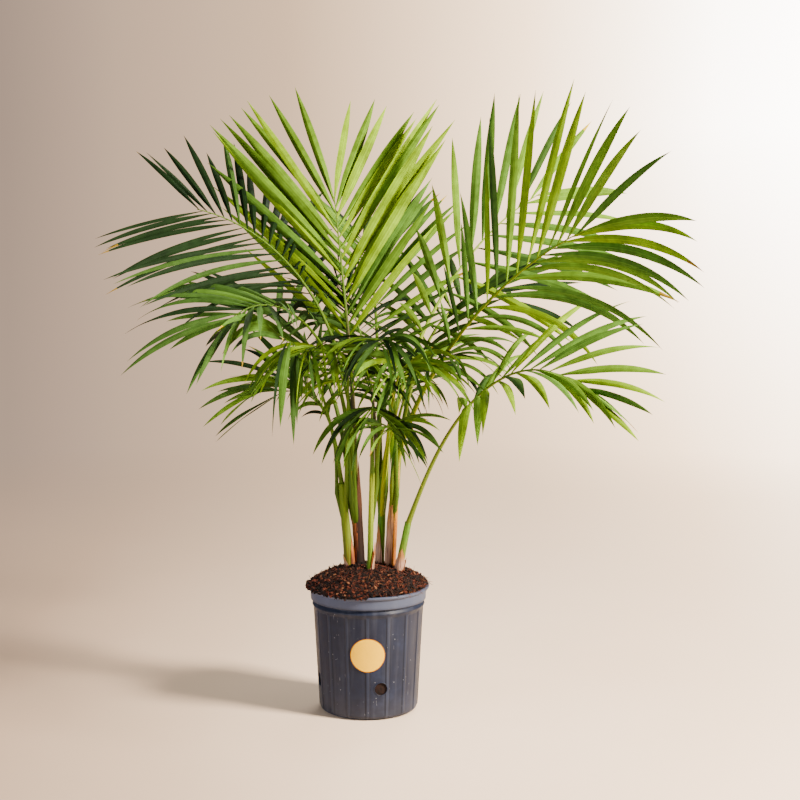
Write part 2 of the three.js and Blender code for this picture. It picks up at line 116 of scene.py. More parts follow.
def ramp(tree, factor, *stops):
    """A colour ramp. A stop is a place and a colour, six hex digits or a grey."""
    made = add(tree, "ValToRGB", {"Fac": factor})
    elements = made.color_ramp.elements
    while len(elements) < len(stops):
        elements.new(0.5)
    for element, (place, color) in zip(elements, stops):
        element.position = place
        color = srgb(color) if isinstance(color, str) else color
        element.color = color if isinstance(color, tuple) else (color, color, color, 1)
    return made.outputs["Color"]


def blend(tree, factor, first, second, mode="MIX"):
    """Blends two colours by a mask."""
    inputs = {0: factor, 6: first, 7: second}
    return add(tree, "Mix", inputs, data_type="RGBA", blend_type=mode).outputs[2]


def math_node(tree, operation, first, second=0.0):
    """One step of arithmetic on masks."""
    return add(tree, "Math", {0: first, 1: second}, operation=operation).outputs[0]


def times(tree, first, second):
    """The product of two masks."""
    return math_node(tree, "MULTIPLY", first, second)


def tint(tree, color, mask, strength, second, mode="MIX"):
    """Blends a second colour into a first where a mask shows."""
    return blend(tree, times(tree, mask, strength), color, second, mode)


def span(tree, value, low, high, first=0.0, last=1.0):
    """Turns the span from low to high into the span from first to last."""
    inputs = {"Value": value, "From Min": low, "From Max": high, "To Min": first, "To Max": last}
    return add(tree, "MapRange", inputs).outputs[0]


def vector_node(tree, operation, *vectors):
    """One step of arithmetic on places."""
    made = add(tree, "VectorMath", dict(enumerate(vectors)), operation=operation)
    return made.outputs["Value" if operation in ("LENGTH", "DISTANCE") else "Vector"]


def parts_of(tree, vector):
    """The X, Y and Z of a vector."""
    return add(tree, "SeparateXYZ", {"Vector": vector}).outputs


def place_of(tree):
    """Where a point is on the plant."""
    return add(tree, "TexCoord").outputs["Object"]


def fog(tree, place, scale, detail):
    """A cloudy noise."""
    return add(tree, "TexNoise", {"Vector": place, "Scale": scale, "Detail": detail}).outputs["Fac"]


def new_material(name):
    """An empty material and its tree of nodes."""
    material = bpy.data.materials.new(name)
    material.use_nodes = True
    return material, material.node_tree


def coat(material, color, roughness, shine, height=None, strength=0.0, depth=0.0, **more):
    """Feeds the material's shader, with bumps where there is a height, and gives the material back."""
    tree = material.node_tree
    inputs = {"Base Color": color, "Roughness": roughness, "Specular IOR Level": shine, **more}
    if height is not None:
        bumps = add(tree, "Bump", {"Height": height, "Strength": strength, "Distance": depth})
        inputs["Normal"] = bumps.outputs["Normal"]
    for name, value in inputs.items():
        feed(tree, tree.nodes["Principled BSDF"].inputs[name.replace("_", " ")], value)
    return material


# %% [markdown]
# Mottling and grain turn up on the pot, the bark and the leaves alike. Each is a node group that is
# built once, gives out only a mask, and is placed in a material with its own scale.


# %% Shared effects
def new_group(name):
    """A node group that turns a place and a scale into a mask."""
    tree = bpy.data.node_groups.new(name, "ShaderNodeTree")
    sockets = (("Vector", "INPUT", "Vector"), ("Scale", "INPUT", "Float"), ("Mask", "OUTPUT", "Float"))
    for title, way, kind in sockets:
        tree.interface.new_socket(name=title, in_out=way, socket_type="NodeSocket" + kind)
    given = tree.nodes.new("NodeGroupInput").outputs
    return tree, given["Vector"], given["Scale"], tree.nodes.new("NodeGroupOutput").inputs["Mask"]


mottle, place, scale, mask = new_group("mottle")
coarse = times(mottle, fog(mottle, place, scale, 3.0), 0.6)
fine = times(mottle, fog(mottle, place, times(mottle, scale, 5.0), 2.0), 0.4)
feed(mottle, mask, math_node(mottle, "ADD", fine, coarse))

grain, place, scale, mask = new_group("long grain")
stretched = add(grain, "Mapping", {"Vector": place, "Scale": (1.0, 1.0, 0.04)}).outputs[0]
feed(grain, mask, fog(grain, stretched, scale, 4.0))


def mask_of(tree, group, scale):
    """Places a shared effect on the piece's own coordinates."""
    return add(tree, "Group", {"Vector": place_of(tree), "Scale": scale}, node_tree=group).outputs["Mask"]


print("shared effects:", mottle.name, "and", grain.name)

# %% [markdown]
# ## Keeping a piece
#
# Every finished piece rides on the frame's one body. A piece made by bmesh operators and one made
# from arrays are kept by the same function, which also says which solids the piece stands for.


# %% Keep a piece
def keep(name, mesh, materials, replaced=()):
    """Adds a mesh to the plant in its place and hides the solids it stands for."""
    for material in materials:
        mesh.materials.append(material)
    piece = put(name, mesh)
    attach(piece, "root")
    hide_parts(*replaced)
    print(name, "has", sum(len(polygon.vertices) - 2 for polygon in mesh.polygons), "triangles")


def smooth(mesh, angle):
    """Shades a mesh smooth, but for edges that turn by more than an angle in degrees."""
    mesh.shade_smooth()
    mesh.set_sharp_from_angle(angle=radians(angle))
    return mesh


def mesh_from(bm, name, angle):
    """Turns a bmesh into a smooth mesh and frees it."""
    mesh = bpy.data.meshes.new(name)
    bm.to_mesh(mesh)
    bm.free()
    return smooth(mesh, angle)


# %% [markdown]
# ## The pot
#
# A nursery pot is blown from thin plastic. It has a rolled lip, a plain band, a dark groove, a bead
# and a body of sixteen shallow panels between narrow ribs. The wall is one profile spun round the
# axis. Panels could be cut with sixteen tools, but it is simpler to push the body's own vertices
# in and out by a formula, because the wall already has a vertex every millimetre or so.

# %% The pot's sizes
pot_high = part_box("pot")[1]
POT_HEIGHT = pot_high.z
LIP_RADIUS = pot_high.x
BAND_RADIUS = 0.120
GROOVE_RADIUS = 0.1135
BEAD_RADIUS = 0.117
BODY_HIGH_RADIUS = 0.113
BODY_LOW_RADIUS = 0.1015
BODY_HIGH_Z = 0.222
BODY_LOW_Z = 0.009
FOOT_RADIUS = 0.096
WALL = 0.0022
DISH_RISE = 0.004
FOOT_ROLL = 0.007
HEEL_ROLL = 0.010
BEAD_ROLL = 0.0035
GROOVE_ROLL = 0.0015
BAND_ROLL = 0.002
LIP_ROLL = 0.003
INNER_FLOOR_Z = 0.007
PANELS = 16
RIB_WIDTH = 0.007
PANEL_DEPTH = 0.0014
PANEL_CORNER = 0.004
PANEL_SLOPE = 0.0022
PANEL_HIGH_Z = BODY_HIGH_Z - 0.003
POT_STEPS = 448
SHARP_EDGE = 50
HOLE_RADIUS = 0.0135
HOLE_Z = 0.068
HOLE_STEPS = 40
HOLE_ANGLES = [radians(turn) for turn in (-75, 15, 105, 195)]
FULL_TURN = 2 * pi
print("pot", round(POT_HEIGHT, 3), "m tall and", round(2 * LIP_RADIUS, 3), "m across its lip")


# %% Spin the pot's wall
def body_radius(z):
    """Radius of the pot's body between its ribs."""
    share = (z - BODY_LOW_Z) / (BODY_HIGH_Z - BODY_LOW_Z)
    return BODY_LOW_RADIUS + (BODY_HIGH_RADIUS - BODY_LOW_RADIUS) * share


def arc(radius, z, roll, start, end, steps):
    """Points on part of a circle round a place on the profile, with its angles in degrees."""
    angles = np.radians(np.linspace(start, end, steps))
    return [(radius + roll * cos(a), z + roll * sin(a)) for a in angles]


def spin(bm, geometry, steps):
    """Turns a profile once round the axis."""
    bmesh.ops.spin(
        bm, geom=geometry, cent=(0, 0, 0), axis=(0, 0, 1), angle=FULL_TURN, steps=steps, use_merge=True
    )


def close(bm):
    """Merges doubled vertices and points the faces outwards."""
    bmesh.ops.remove_doubles(bm, verts=bm.verts, dist=1e-6)
    bmesh.ops.recalc_face_normals(bm, faces=bm.faces)


def spun(profile, steps):
    """Spins a profile that starts and ends on the axis into a closed wall."""
    bm = bmesh.new()
    verts = [bm.verts.new((radius, 0, z)) for radius, z in profile]
    spin(bm, verts + [bm.edges.new(pair) for pair in zip(verts, verts[1:])], steps)
    close(bm)
    return bm


corner_rows = np.linspace(0, 0.018, 13)
low_rows = BODY_LOW_Z + 0.002 + corner_rows
high_rows = BODY_HIGH_Z - 0.002 - corner_rows
wall_rows = np.unique(np.round([*low_rows, *np.linspace(0.03, 0.20, 12), *high_rows], 5))
pot_profile = [(0, DISH_RISE), (0.070, DISH_RISE), (0.078, 0.0)]
pot_profile += arc(FOOT_RADIUS - 0.006, FOOT_ROLL, FOOT_ROLL, -90, -40, 4)
pot_profile += arc(BODY_LOW_RADIUS - HEEL_ROLL, 0.0105, HEEL_ROLL, -38, -6, 4)
pot_profile += [(body_radius(z), z) for z in wall_rows]
pot_profile += arc(BEAD_RADIUS - BEAD_ROLL, 0.2265, BEAD_ROLL, -60, 60, 7)
pot_profile += arc(GROOVE_RADIUS + GROOVE_ROLL, 0.2335, GROOVE_ROLL, 260, 110, 5)
pot_profile += arc(BAND_RADIUS - BAND_ROLL, 0.2385, BAND_ROLL, -80, 0, 4)
pot_profile += [(BAND_RADIUS + 0.0003, 0.247), (BAND_RADIUS + 0.0008, 0.2565)]
pot_profile += arc(LIP_RADIUS - LIP_ROLL, POT_HEIGHT - LIP_ROLL, LIP_ROLL, -75, 85, 9)
pot_profile += arc(BAND_RADIUS + 0.0018, POT_HEIGHT - LIP_ROLL, LIP_ROLL, 95, 170, 5)
pot_profile += [(BAND_RADIUS - WALL, 0.245), (GROOVE_RADIUS - WALL, 0.235)]
pot_profile += [(BODY_LOW_RADIUS - WALL, 0.012), (FOOT_RADIUS - WALL, INNER_FLOOR_Z), (0, INNER_FLOOR_Z)]
pot = spun(pot_profile, POT_STEPS)
print("pot wall spun from", len(pot_profile), "points")


# %% Push the panels in and leave the ribs proud
def panel_mask(angle, z):
    """One on a rib and above or below a panel, and nought inside a panel."""
    pitch = FULL_TURN / PANELS
    across = abs((angle + pi / 2) % pitch - pitch / 2) * body_radius(z)
    half_width = pitch / 2 * body_radius(z) - RIB_WIDTH / 2
    dx = across - half_width + PANEL_CORNER
    dz = abs(z - (PANEL_HIGH_Z + BODY_LOW_Z) / 2) - (PANEL_HIGH_Z - BODY_LOW_Z) / 2 + PANEL_CORNER
    outside = hypot(max(dx, 0), max(dz, 0)) + min(max(dx, dz), 0) - PANEL_CORNER
    share = min(max(outside / PANEL_SLOPE + 0.5, 0), 1)
    return share * share * (3 - 2 * share)


for vert in pot.verts:
    radius = hypot(vert.co.x, vert.co.y)
    if BODY_LOW_Z < vert.co.z < BODY_HIGH_Z and radius > body_radius(vert.co.z) - 0.0005:
        push = PANEL_DEPTH * panel_mask(atan2(vert.co.y, vert.co.x), vert.co.z) / radius
        vert.co.x += vert.co.x * push
        vert.co.y += vert.co.y * push
pot_mesh = mesh_from(pot, "pot_body", SHARP_EDGE)
print("pot wall has", len(pot_mesh.vertices), "vertices")

# %% [markdown]
# The drain holes are bored through the wall by a Boolean modifier, which is applied at once. A
# drilled edge in thin plastic catches the light, so each hole also gets a fine raised rim.


# %% Bore the drain holes
def bored(mesh, cutters):
    """The mesh with the cutters' volume taken away."""
    target = put("bored", mesh)
    tool = put("tool", cutters)
    cut = target.modifiers.new("bore", "BOOLEAN")
    cut.operation = "DIFFERENCE"
    cut.solver = "EXACT"
    cut.object = tool
    graph = bpy.context.evaluated_depsgraph_get()
    result = bpy.data.meshes.new_from_object(target.evaluated_get(graph))
    bpy.data.objects.remove(target)
    bpy.data.objects.remove(tool)
    return result


def ray(angle):
    """The level direction at an angle round the axis."""
    return Vector((cos(angle), sin(angle), 0))


def facing(angle, radius, z):
    """Places a shape made round Z on the pot's wall, with its Z axis pointing out."""
    turn = Matrix.Rotation(angle, 4, "Z") @ Matrix.Rotation(pi / 2, 4, "Y")
    return Matrix.Translation((radius * cos(angle), radius * sin(angle), z)) @ turn


drills = bmesh.new()
for angle in HOLE_ANGLES:
    bmesh.ops.create_cone(
        drills, cap_ends=True, segments=HOLE_STEPS, radius1=HOLE_RADIUS, radius2=HOLE_RADIUS, depth=0.03,
        matrix=facing(angle, body_radius(HOLE_Z), HOLE_Z),
    )
pot_mesh = smooth(bored(pot_mesh, mesh_from(drills, "drills", SHARP_EDGE)), SHARP_EDGE)
print("bored", len(HOLE_ANGLES), "drain holes")

# %% Hole rims
RIM_RADIUS = 0.0008
rims = bmesh.new()
upright = Matrix.Translation((HOLE_RADIUS + RIM_RADIUS / 2, 0, 0)) @ Matrix.Rotation(pi / 2, 4, "X")
for angle in HOLE_ANGLES:
    before = set(rims.verts)
    section = bmesh.ops.create_circle(
        rims, cap_ends=False, segments=8, radius=RIM_RADIUS, matrix=upright
    )["verts"]
    spin(rims, section + list({edge for vert in section for edge in vert.link_edges}), HOLE_STEPS)
    out = ray(angle)
    for vert in set(rims.verts) - before:
        place = facing(angle, 0, HOLE_Z) @ vert.co
        wall = body_radius(place.z) + RIM_RADIUS / 2 + vert.co.z
        off_axis = place - out * place.dot(out)
        vert.co = out * sqrt(max(wall**2 - off_axis.xy.length_squared, 0)) + off_axis
close(rims)
rim_mesh = mesh_from(rims, "hole_rims", 180)
print("rims have", len(rim_mesh.vertices), "vertices")

# %% [markdown]
# ### Scuffed plastic
#
# Recycled nursery plastic is a blue-grey charcoal with a soft shine. Handling leaves pale scuffs,
# short scratches and dust that gathers towards the foot. Each is a mask made from noise. Painted
# shade darkens the edges of the ribs, and painted highlights lighten the ribs and the band.


# %% Pot plastic
def pot_plastic():
    """Blue-grey plastic with dust, faint streaks, pale scratches, painted rib shade and highlights."""
    material, tree = new_material("pot plastic")
    place = place_of(tree)
    x, y, z = parts_of(tree, place)
    clouds = mask_of(tree, mottle, 14.0)
    color = ramp(tree, clouds, (0.3, "141a2a"), (0.55, "1a2133"), (0.8, "252e45"))
    streak = ramp(tree, mask_of(tree, grain, 60.0), (0.5, 0.0), (0.75, 1.0))
    color = tint(tree, color, streak, 0.11, "747884")
    tilted = add(tree, "Mapping", {"Vector": place, "Rotation": (0.5, 0.3, 0.9), "Scale": (1.0, 1.0, 0.12)})
    lines = ramp(tree, fog(tree, tilted.outputs[0], 260.0, 2.0), (0.70, 0.0), (0.76, 1.0))
    patches = fog(tree, place, 24.0, 2.0)
    scratch = times(tree, lines, ramp(tree, patches, (0.52, 0.0), (0.62, 1.0)))
    color = tint(tree, color, scratch, 0.55, "b4b7bc")
    specks = add(tree, "TexVoronoi", {"Vector": place, "Scale": 90.0}).outputs["Distance"]
    rare = ramp(tree, patches, (0.45, 0.0), (0.6, 1.0))
    color = tint(tree, color, ramp(tree, specks, (0.05, 1.0), (0.09, 0.0)), rare, "8d9098")
    color = tint(tree, color, span(tree, z, 0.0, 0.06, 0.12, 0.0), clouds, "8a847a")
    # Painted highlight: the band and lip above the groove are lightened towards pale blue-grey.
    color = tint(tree, color, ramp(tree, z, (0.233, 0.0), (0.242, 1.0)), 0.35, "6c7690")
    # Painted shade: a dark line runs down both edges of every rib on the body.
    turns = times(tree, math_node(tree, "ARCTAN2", y, x), PANELS / FULL_TURN)
    half_turn = math_node(tree, "SUBTRACT", math_node(tree, "FRACT", turns), 0.5)
    from_panel = math_node(tree, "ABSOLUTE", times(tree, half_turn, 2.0))
    below = math_node(tree, "LESS_THAN", z, BODY_HIGH_Z - 0.004)
    edge = ramp(tree, from_panel, (0.68, 0.0), (0.78, 1.0), (0.83, 1.0), (0.87, 0.0))
    color = tint(tree, color, times(tree, edge, below), 0.4, "0a0d16")
    # Painted highlight: the middle of every rib is lightened on the body.
    crown = ramp(tree, from_panel, (0.86, 0.0), (0.9, 1.0))
    color = tint(tree, color, times(tree, crown, below), 0.1, "505a70")
    rough = span(tree, clouds, 0.3, 0.7, 0.36, 0.54)
    height = math_node(tree, "ADD", clouds, times(tree, scratch, -0.5))
    return coat(material, color, rough, shine=0.2, height=height, strength=0.25, depth=0.0006)


plastic = pot_plastic()
keep("pot_wall", pot_mesh, [plastic], ["pot"])
keep("hole_rims", rim_mesh, [plastic])

# %% [markdown]
# ### The round label
#
# A paper disc with a darker printed edge is stuck on the front. It is a flat disc whose vertices are
# moved out to the pot's wall, so it curves with the pot.

# %% Label
label_low, label_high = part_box("label")
LABEL_Z = (label_low.z + label_high.z) / 2
LABEL_RADIUS = (label_high.z - label_low.z) / 2
LABEL_PROUD = PANEL_DEPTH + 0.0003
LABEL_THICKNESS = 0.0005
LABEL_INSETS = (0.0006, 0.0014, 0.006, 0.008, 0.008)

label = bmesh.new()
bmesh.ops.create_circle(label, cap_ends=True, segments=96, radius=LABEL_RADIUS)
for inset in LABEL_INSETS:
    cap = max(label.faces, key=lambda face: face.calc_area())
    bmesh.ops.inset_individual(label, faces=[cap], thickness=inset)
bmesh.ops.solidify(label, geom=label.faces[:], thickness=LABEL_THICKNESS)
for vert in label.verts:
    x, height, lift = vert.co
    reach = body_radius(LABEL_Z + height) + LABEL_PROUD + abs(lift)
    vert.co = (x, -sqrt(reach**2 - x**2), LABEL_Z + height)
bmesh.ops.recalc_face_normals(label, faces=label.faces)
label_mesh = mesh_from(label, "label", SHARP_EDGE)


def label_paper():
    """Warm yellow paper with an orange edge and a trace of grain."""
    material, tree = new_material("label paper")
    inputs = {"Vector": place_of(tree), "Location": (0, 0, -LABEL_Z), "Scale": (1.0, 0.0, 1.0)}
    from_middle = vector_node(tree, "LENGTH", add(tree, "Mapping", inputs).outputs[0])
    edge = ramp(tree, math_node(tree, "DIVIDE", from_middle, LABEL_RADIUS), (0.955, 0.0), (0.97, 1.0))
    fibres = mask_of(tree, mottle, 220.0)
    face = ramp(tree, fibres, (0.35, "ecb800"), (0.65, "f0be00"))
    color = blend(tree, edge, face, "b46e06")
    return coat(material, color, roughness=0.8, shine=0.0, height=fibres, strength=0.15, depth=0.0002)


keep("label_disc", label_mesh, [label_paper()], ["label"])

# %% [markdown]
# ## Joined pieces from arrays
#
# Chips, fibres, stalks and leaflets are all tubes: rings of points that run from a root to a tip.
# There are thousands of them, so their rings are worked out as arrays and joined into one mesh. Each
# ring's points may lie in any outline, which turns the same few lines into a bark chip or a leaf.
# Every tube has its own place on the mesh's UV map: across it and along it.


# %% Join tubes
def join_tubes(name, tubes, across, slots, sharp_angle=180):
    """Joins tubes, given as arrays of rings of points, into one mesh of closed tubes.

    across gives each ring point's place across the tube, and slots each tube's material index for
    every step along it. The diagonals of the near half match those of the far half, so that a thin
    twisted tube keeps its two skins apart."""
    points, faces, uvs, indices = [], [], [], []
    start = 0
    for tube, steps in zip(tubes, slots):
        rings, sides, _ = tube.shape
        points.append(tube.reshape(-1, 3))
        along = np.repeat(np.linspace(0, 1, rings), sides)
        uvs.append(np.column_stack([np.tile(across, rings), along]))
        last = start + (rings - 1) * sides
        for low in range(start, last, sides):
            for side in range(sides):
                after = (side + 1) % sides
                a, b, c, d = low + side, low + after, low + sides + after, low + sides + side
                faces.extend(((a, b, c), (a, c, d)) if side < sides / 2 else ((a, b, d), (b, c, d)))
        faces.append(tuple(range(start + sides - 1, start - 1, -1)))
        faces.append(tuple(range(last, last + sides)))
        indices.extend([*np.repeat(steps, 2 * sides), steps[0], steps[-1]])
        start = last + sides
    mesh = bpy.data.meshes.new(name)
    mesh.from_pydata(np.concatenate(points).tolist(), [], faces)
    corners = np.zeros(len(mesh.loops), np.int32)
    mesh.loops.foreach_get("vertex_index", corners)
    layer = mesh.uv_layers.new(name="UVMap")
    layer.data.foreach_set("uv", np.concatenate(uvs)[corners].astype(np.float32).ravel())
    mesh.polygons.foreach_set("material_index", np.array(indices, np.int32))
    mesh.update()
    return smooth(mesh, sharp_angle)


def uv_of(tree):
    """How far across and along its tube a point is."""
    across, along, _ = parts_of(tree, add(tree, "UVMap", uv_map="UVMap").outputs["UV"])
    return across, along


print("tubes can be joined")

# %% [markdown]
# ## Soil
#
# The mix is shredded bark and coir, heaped over the rim. A rough mound gives it body, and thousands
# of chips and fibres lie on it. Chips in a few plain browns look right sooner than one chip with a
# clever texture, because each chip catches its own light.

# %% Soil sizes
soil_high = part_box("soil")[1]
MOUND_TOP = soil_high.z
MOUND_EDGE = soil_high.x
MOUND_FOOT = POT_HEIGHT + 0.0003
MOUND_REACH = BAND_RADIUS + 0.004
MOUND_RISE = MOUND_TOP - MOUND_FOOT
SOIL_FLOOR_Z = INNER_FLOOR_Z + 0.0008
SOIL_GAP = WALL + 0.0004
SOIL_STEPS = 180
CHIP_SINK = 0.0015
SOIL_LUMPS = ((120, 0.0022), (420, 0.0012))
random = np.random.default_rng(7)


def mound_height(radius):
    """Height of the soil at a distance from the axis, as in the solids."""
    share = np.minimum(radius / MOUND_REACH, 1)
    return MOUND_FOOT + MOUND_RISE * (1 - share * share) ** 0.85


print("soil rises", round(MOUND_RISE, 3), "m over the lip")

# %% Soil body
mound_radii = np.linspace(MOUND_EDGE - 0.004, 0.004, 34)
soil_profile = [(0, SOIL_FLOOR_Z), (FOOT_RADIUS - SOIL_GAP, SOIL_FLOOR_Z)]
soil_profile += [(body_radius(z) - SOIL_GAP, z) for z in np.linspace(0.014, 0.222, 30)]
soil_profile += [(GROOVE_RADIUS - SOIL_GAP, 0.234), (BAND_RADIUS - WALL - 0.0015, 0.248)]
soil_profile += [(BAND_RADIUS - WALL - 0.0008, POT_HEIGHT)]
soil_profile += [(radius, mound_height(radius) - CHIP_SINK) for radius in mound_radii]
soil_profile += [(0, MOUND_TOP - CHIP_SINK)]
soil = spun(soil_profile, SOIL_STEPS)
for vert in soil.verts:
    if vert.co.z > POT_HEIGHT + 0.001:
        vert.co.z += sum(noise.noise(vert.co * scale) * height for scale, height in SOIL_LUMPS)
soil_mesh = mesh_from(soil, "soil_body", 180)


def soil_material(name, dark, light, scale):
    """Bark in two browns with a rough surface."""
    material, tree = new_material(name)
    spots = mask_of(tree, mottle, scale)
    color = ramp(tree, spots, (0.38, dark), (0.62, light))
    return coat(material, color, roughness=0.9, shine=0.2, height=spots, strength=0.6, depth=0.002)


keep("soil_mound", soil_mesh, [soil_material("soil", "0d0806", "241511", 160.0)], ["soil"])

# %% Bark chips and coir fibres
CHIP_COUNT = 5200
SPILT_COUNT = 620
FIBRE_COUNT = 1500
CHIP_COLORS = {
    "bark red": ("3a1a11", "66301f"),
    "bark brown": ("170b08", "2f1a13"),
    "bark dark": ("080505", "160d0a"),
    "bark tan": ("5c3826", "8a5a3c"),
}
CHIP_SHARES = [0.18, 0.2, 0.59, 0.03]
FIBRE_SHARES = [0.45, 0.2, 0.1, 0.25]
FIBRE_STEPS = 4
SPILL_CURVE = 260
SPILL_TILT = 300
SLOPE_STEP = 0.001


def unit(vectors):
    """Vectors scaled to length one."""
    return vectors / np.linalg.norm(vectors, axis=-1, keepdims=True)


def round_axis(radius, angle, z):
    """Points given by a distance from the axis, an angle round it and a height."""
    return np.column_stack([radius * np.cos(angle), radius * np.sin(angle), z])


def scatter(count, reach):
    """Points on the mound, with the direction that the slope faces there."""
    radius = reach * np.sqrt(random.random(count))
    angle = random.random(count) * FULL_TURN
    rise = mound_height(radius + SLOPE_STEP) - mound_height(np.maximum(radius - SLOPE_STEP, 0))
    slope = rise / (2 * SLOPE_STEP)
    slope = np.where(radius < MOUND_EDGE, np.maximum(slope, -1.5), 0)
    z = np.where(radius < MOUND_EDGE, mound_height(radius), POT_HEIGHT + 0.001)
    return round_axis(radius, angle, z), unit(round_axis(-slope, angle, np.ones(count)))


def spilt(count):
    """Points over the lip at the front left, where the heap runs out over the pot's edge."""
    angle = np.radians(random.uniform(172, 270, count))
    radius = random.uniform(MOUND_EDGE - 0.003, LIP_RADIUS + 0.0005, count)
    over = np.maximum(radius - LIP_RADIUS + LIP_ROLL, 0)
    z = POT_HEIGHT + 0.0012 - over * over * SPILL_CURVE
    return round_axis(radius, angle, z), unit(round_axis(over * SPILL_TILT, angle, np.ones(count)))


def lying(normal, tip_up):
    """A heading that lies near the slope, with a sideways and an upright direction to match."""
    heading = unit(np.cross(normal, unit(random.normal(size=normal.shape))) + normal * tip_up)
    side = unit(np.cross(heading, normal))
    return heading, side, np.cross(side, heading)


def chips(place, normal):
    """Tubes of three rings, each a flat splinter of bark that lies at its place."""
    each = (len(place), 1)
    heading, side, up = lying(normal, random.normal(0, 0.35, each))
    length = random.uniform(0.005, 0.016, each) * random.uniform(0.7, 1.2, each)
    width = random.uniform(0.0011, 0.0031, each)
    thick = width * random.uniform(0.35, 0.8, each)
    middle = place + normal * random.uniform(-0.0005, 0.0022, each)
    made = np.zeros((len(place), 3, 4, 3))
    for ring, (run, swell) in enumerate(((-0.5, 0.55), (0.05, 1.0), (0.5, 0.4))):
        for corner, (a, b) in enumerate(((-1, -1), (1, -1), (1, 1), (-1, 1))):
            jitter = random.uniform(0.6, 1.2, each) * swell
            rim = side * (a * width) * jitter + up * (b * thick) * jitter
            made[:, ring, corner] = middle + heading * (run * length) + rim
    return made


def fibres(place, normal):
    """Thin bent threads of coir."""
    each = (len(place), 1)
    heading, side, up = lying(normal, random.normal(0.05, 0.25, each))
    length = random.uniform(0.010, 0.030, each)
    bow = random.normal(0, 0.25, each)
    radius = random.uniform(0.00022, 0.00045, each)
    made = np.zeros((len(place), FIBRE_STEPS + 1, 3, 3))
    for ring, run in enumerate(np.linspace(-0.5, 0.5, FIBRE_STEPS + 1)):
        middle = place + heading * (run * length) + side * (bow * length * (0.25 - run * run))
        middle = middle + normal * (0.0020 - 0.004 * run * run)
        for corner, angle in enumerate((0, 2.1, 4.2)):
            made[:, ring, corner] = middle + (side * cos(angle) + up * sin(angle)) * radius
    return made


def dealt(count, shares, steps):
    """A material for each of a number of tubes, the same for all its steps."""
    return [[kind] * steps for kind in random.choice(len(shares), count, p=shares)]


chip_materials = [soil_material(name, *pair, 500.0) for name, pair in CHIP_COLORS.items()]
chip_tubes = [*chips(*scatter(CHIP_COUNT, MOUND_EDGE - 0.001)), *chips(*spilt(SPILT_COUNT))]
chip_mesh = join_tubes("bark_chips", chip_tubes, [0, 1, 1, 0], dealt(len(chip_tubes), CHIP_SHARES, 2), 30)
keep("bark_chips", chip_mesh, chip_materials)
fibre_tubes = fibres(*scatter(FIBRE_COUNT, MOUND_EDGE + 0.002))
fibre_slots = dealt(FIBRE_COUNT, FIBRE_SHARES, FIBRE_STEPS)
fibre_mesh = join_tubes("coir_fibres", fibre_tubes, [0, 0.5, 1], fibre_slots)
keep("coir_fibres", fibre_mesh, chip_materials)

# %% [markdown]
# ## Growth
#
# The plant grows here by the same rule as in the solids. A frond is a line that leans further as it
# runs out, and its leaflets leave the line in pairs, turning in towards the tip. Only the detail is
# finer here: more steps on each line, more leaflets, and a folded blade for each of them.

# %% Stems
STEM_FOOT_Z = 0.288
STEMS = {
    "left": dict(foot=(-0.038, 0.018), tip=(-0.055, 0.018, 0.475), low=0.011, high=0.0075),
    "brown": dict(foot=(-0.018, 0.027), tip=(-0.027, 0.022, 0.468), low=0.009, high=0.0075),
    "front": dict(foot=(0.003, -0.028), tip=(0.009, -0.032, 0.505), low=0.0065, high=0.0055),
    "middle": dict(foot=(0.023, 0.032), tip=(0.031, 0.037, 0.485), low=0.0095, high=0.0075),
    "right": dict(foot=(0.044, 0.020), tip=(0.054, 0.015, 0.480), low=0.0105, high=0.0075),
    "outer": dict(foot=(0.062, -0.006), tip=(0.083, -0.014, 0.400), low=0.009, high=0.007),
}
print(len(STEMS), "stems")
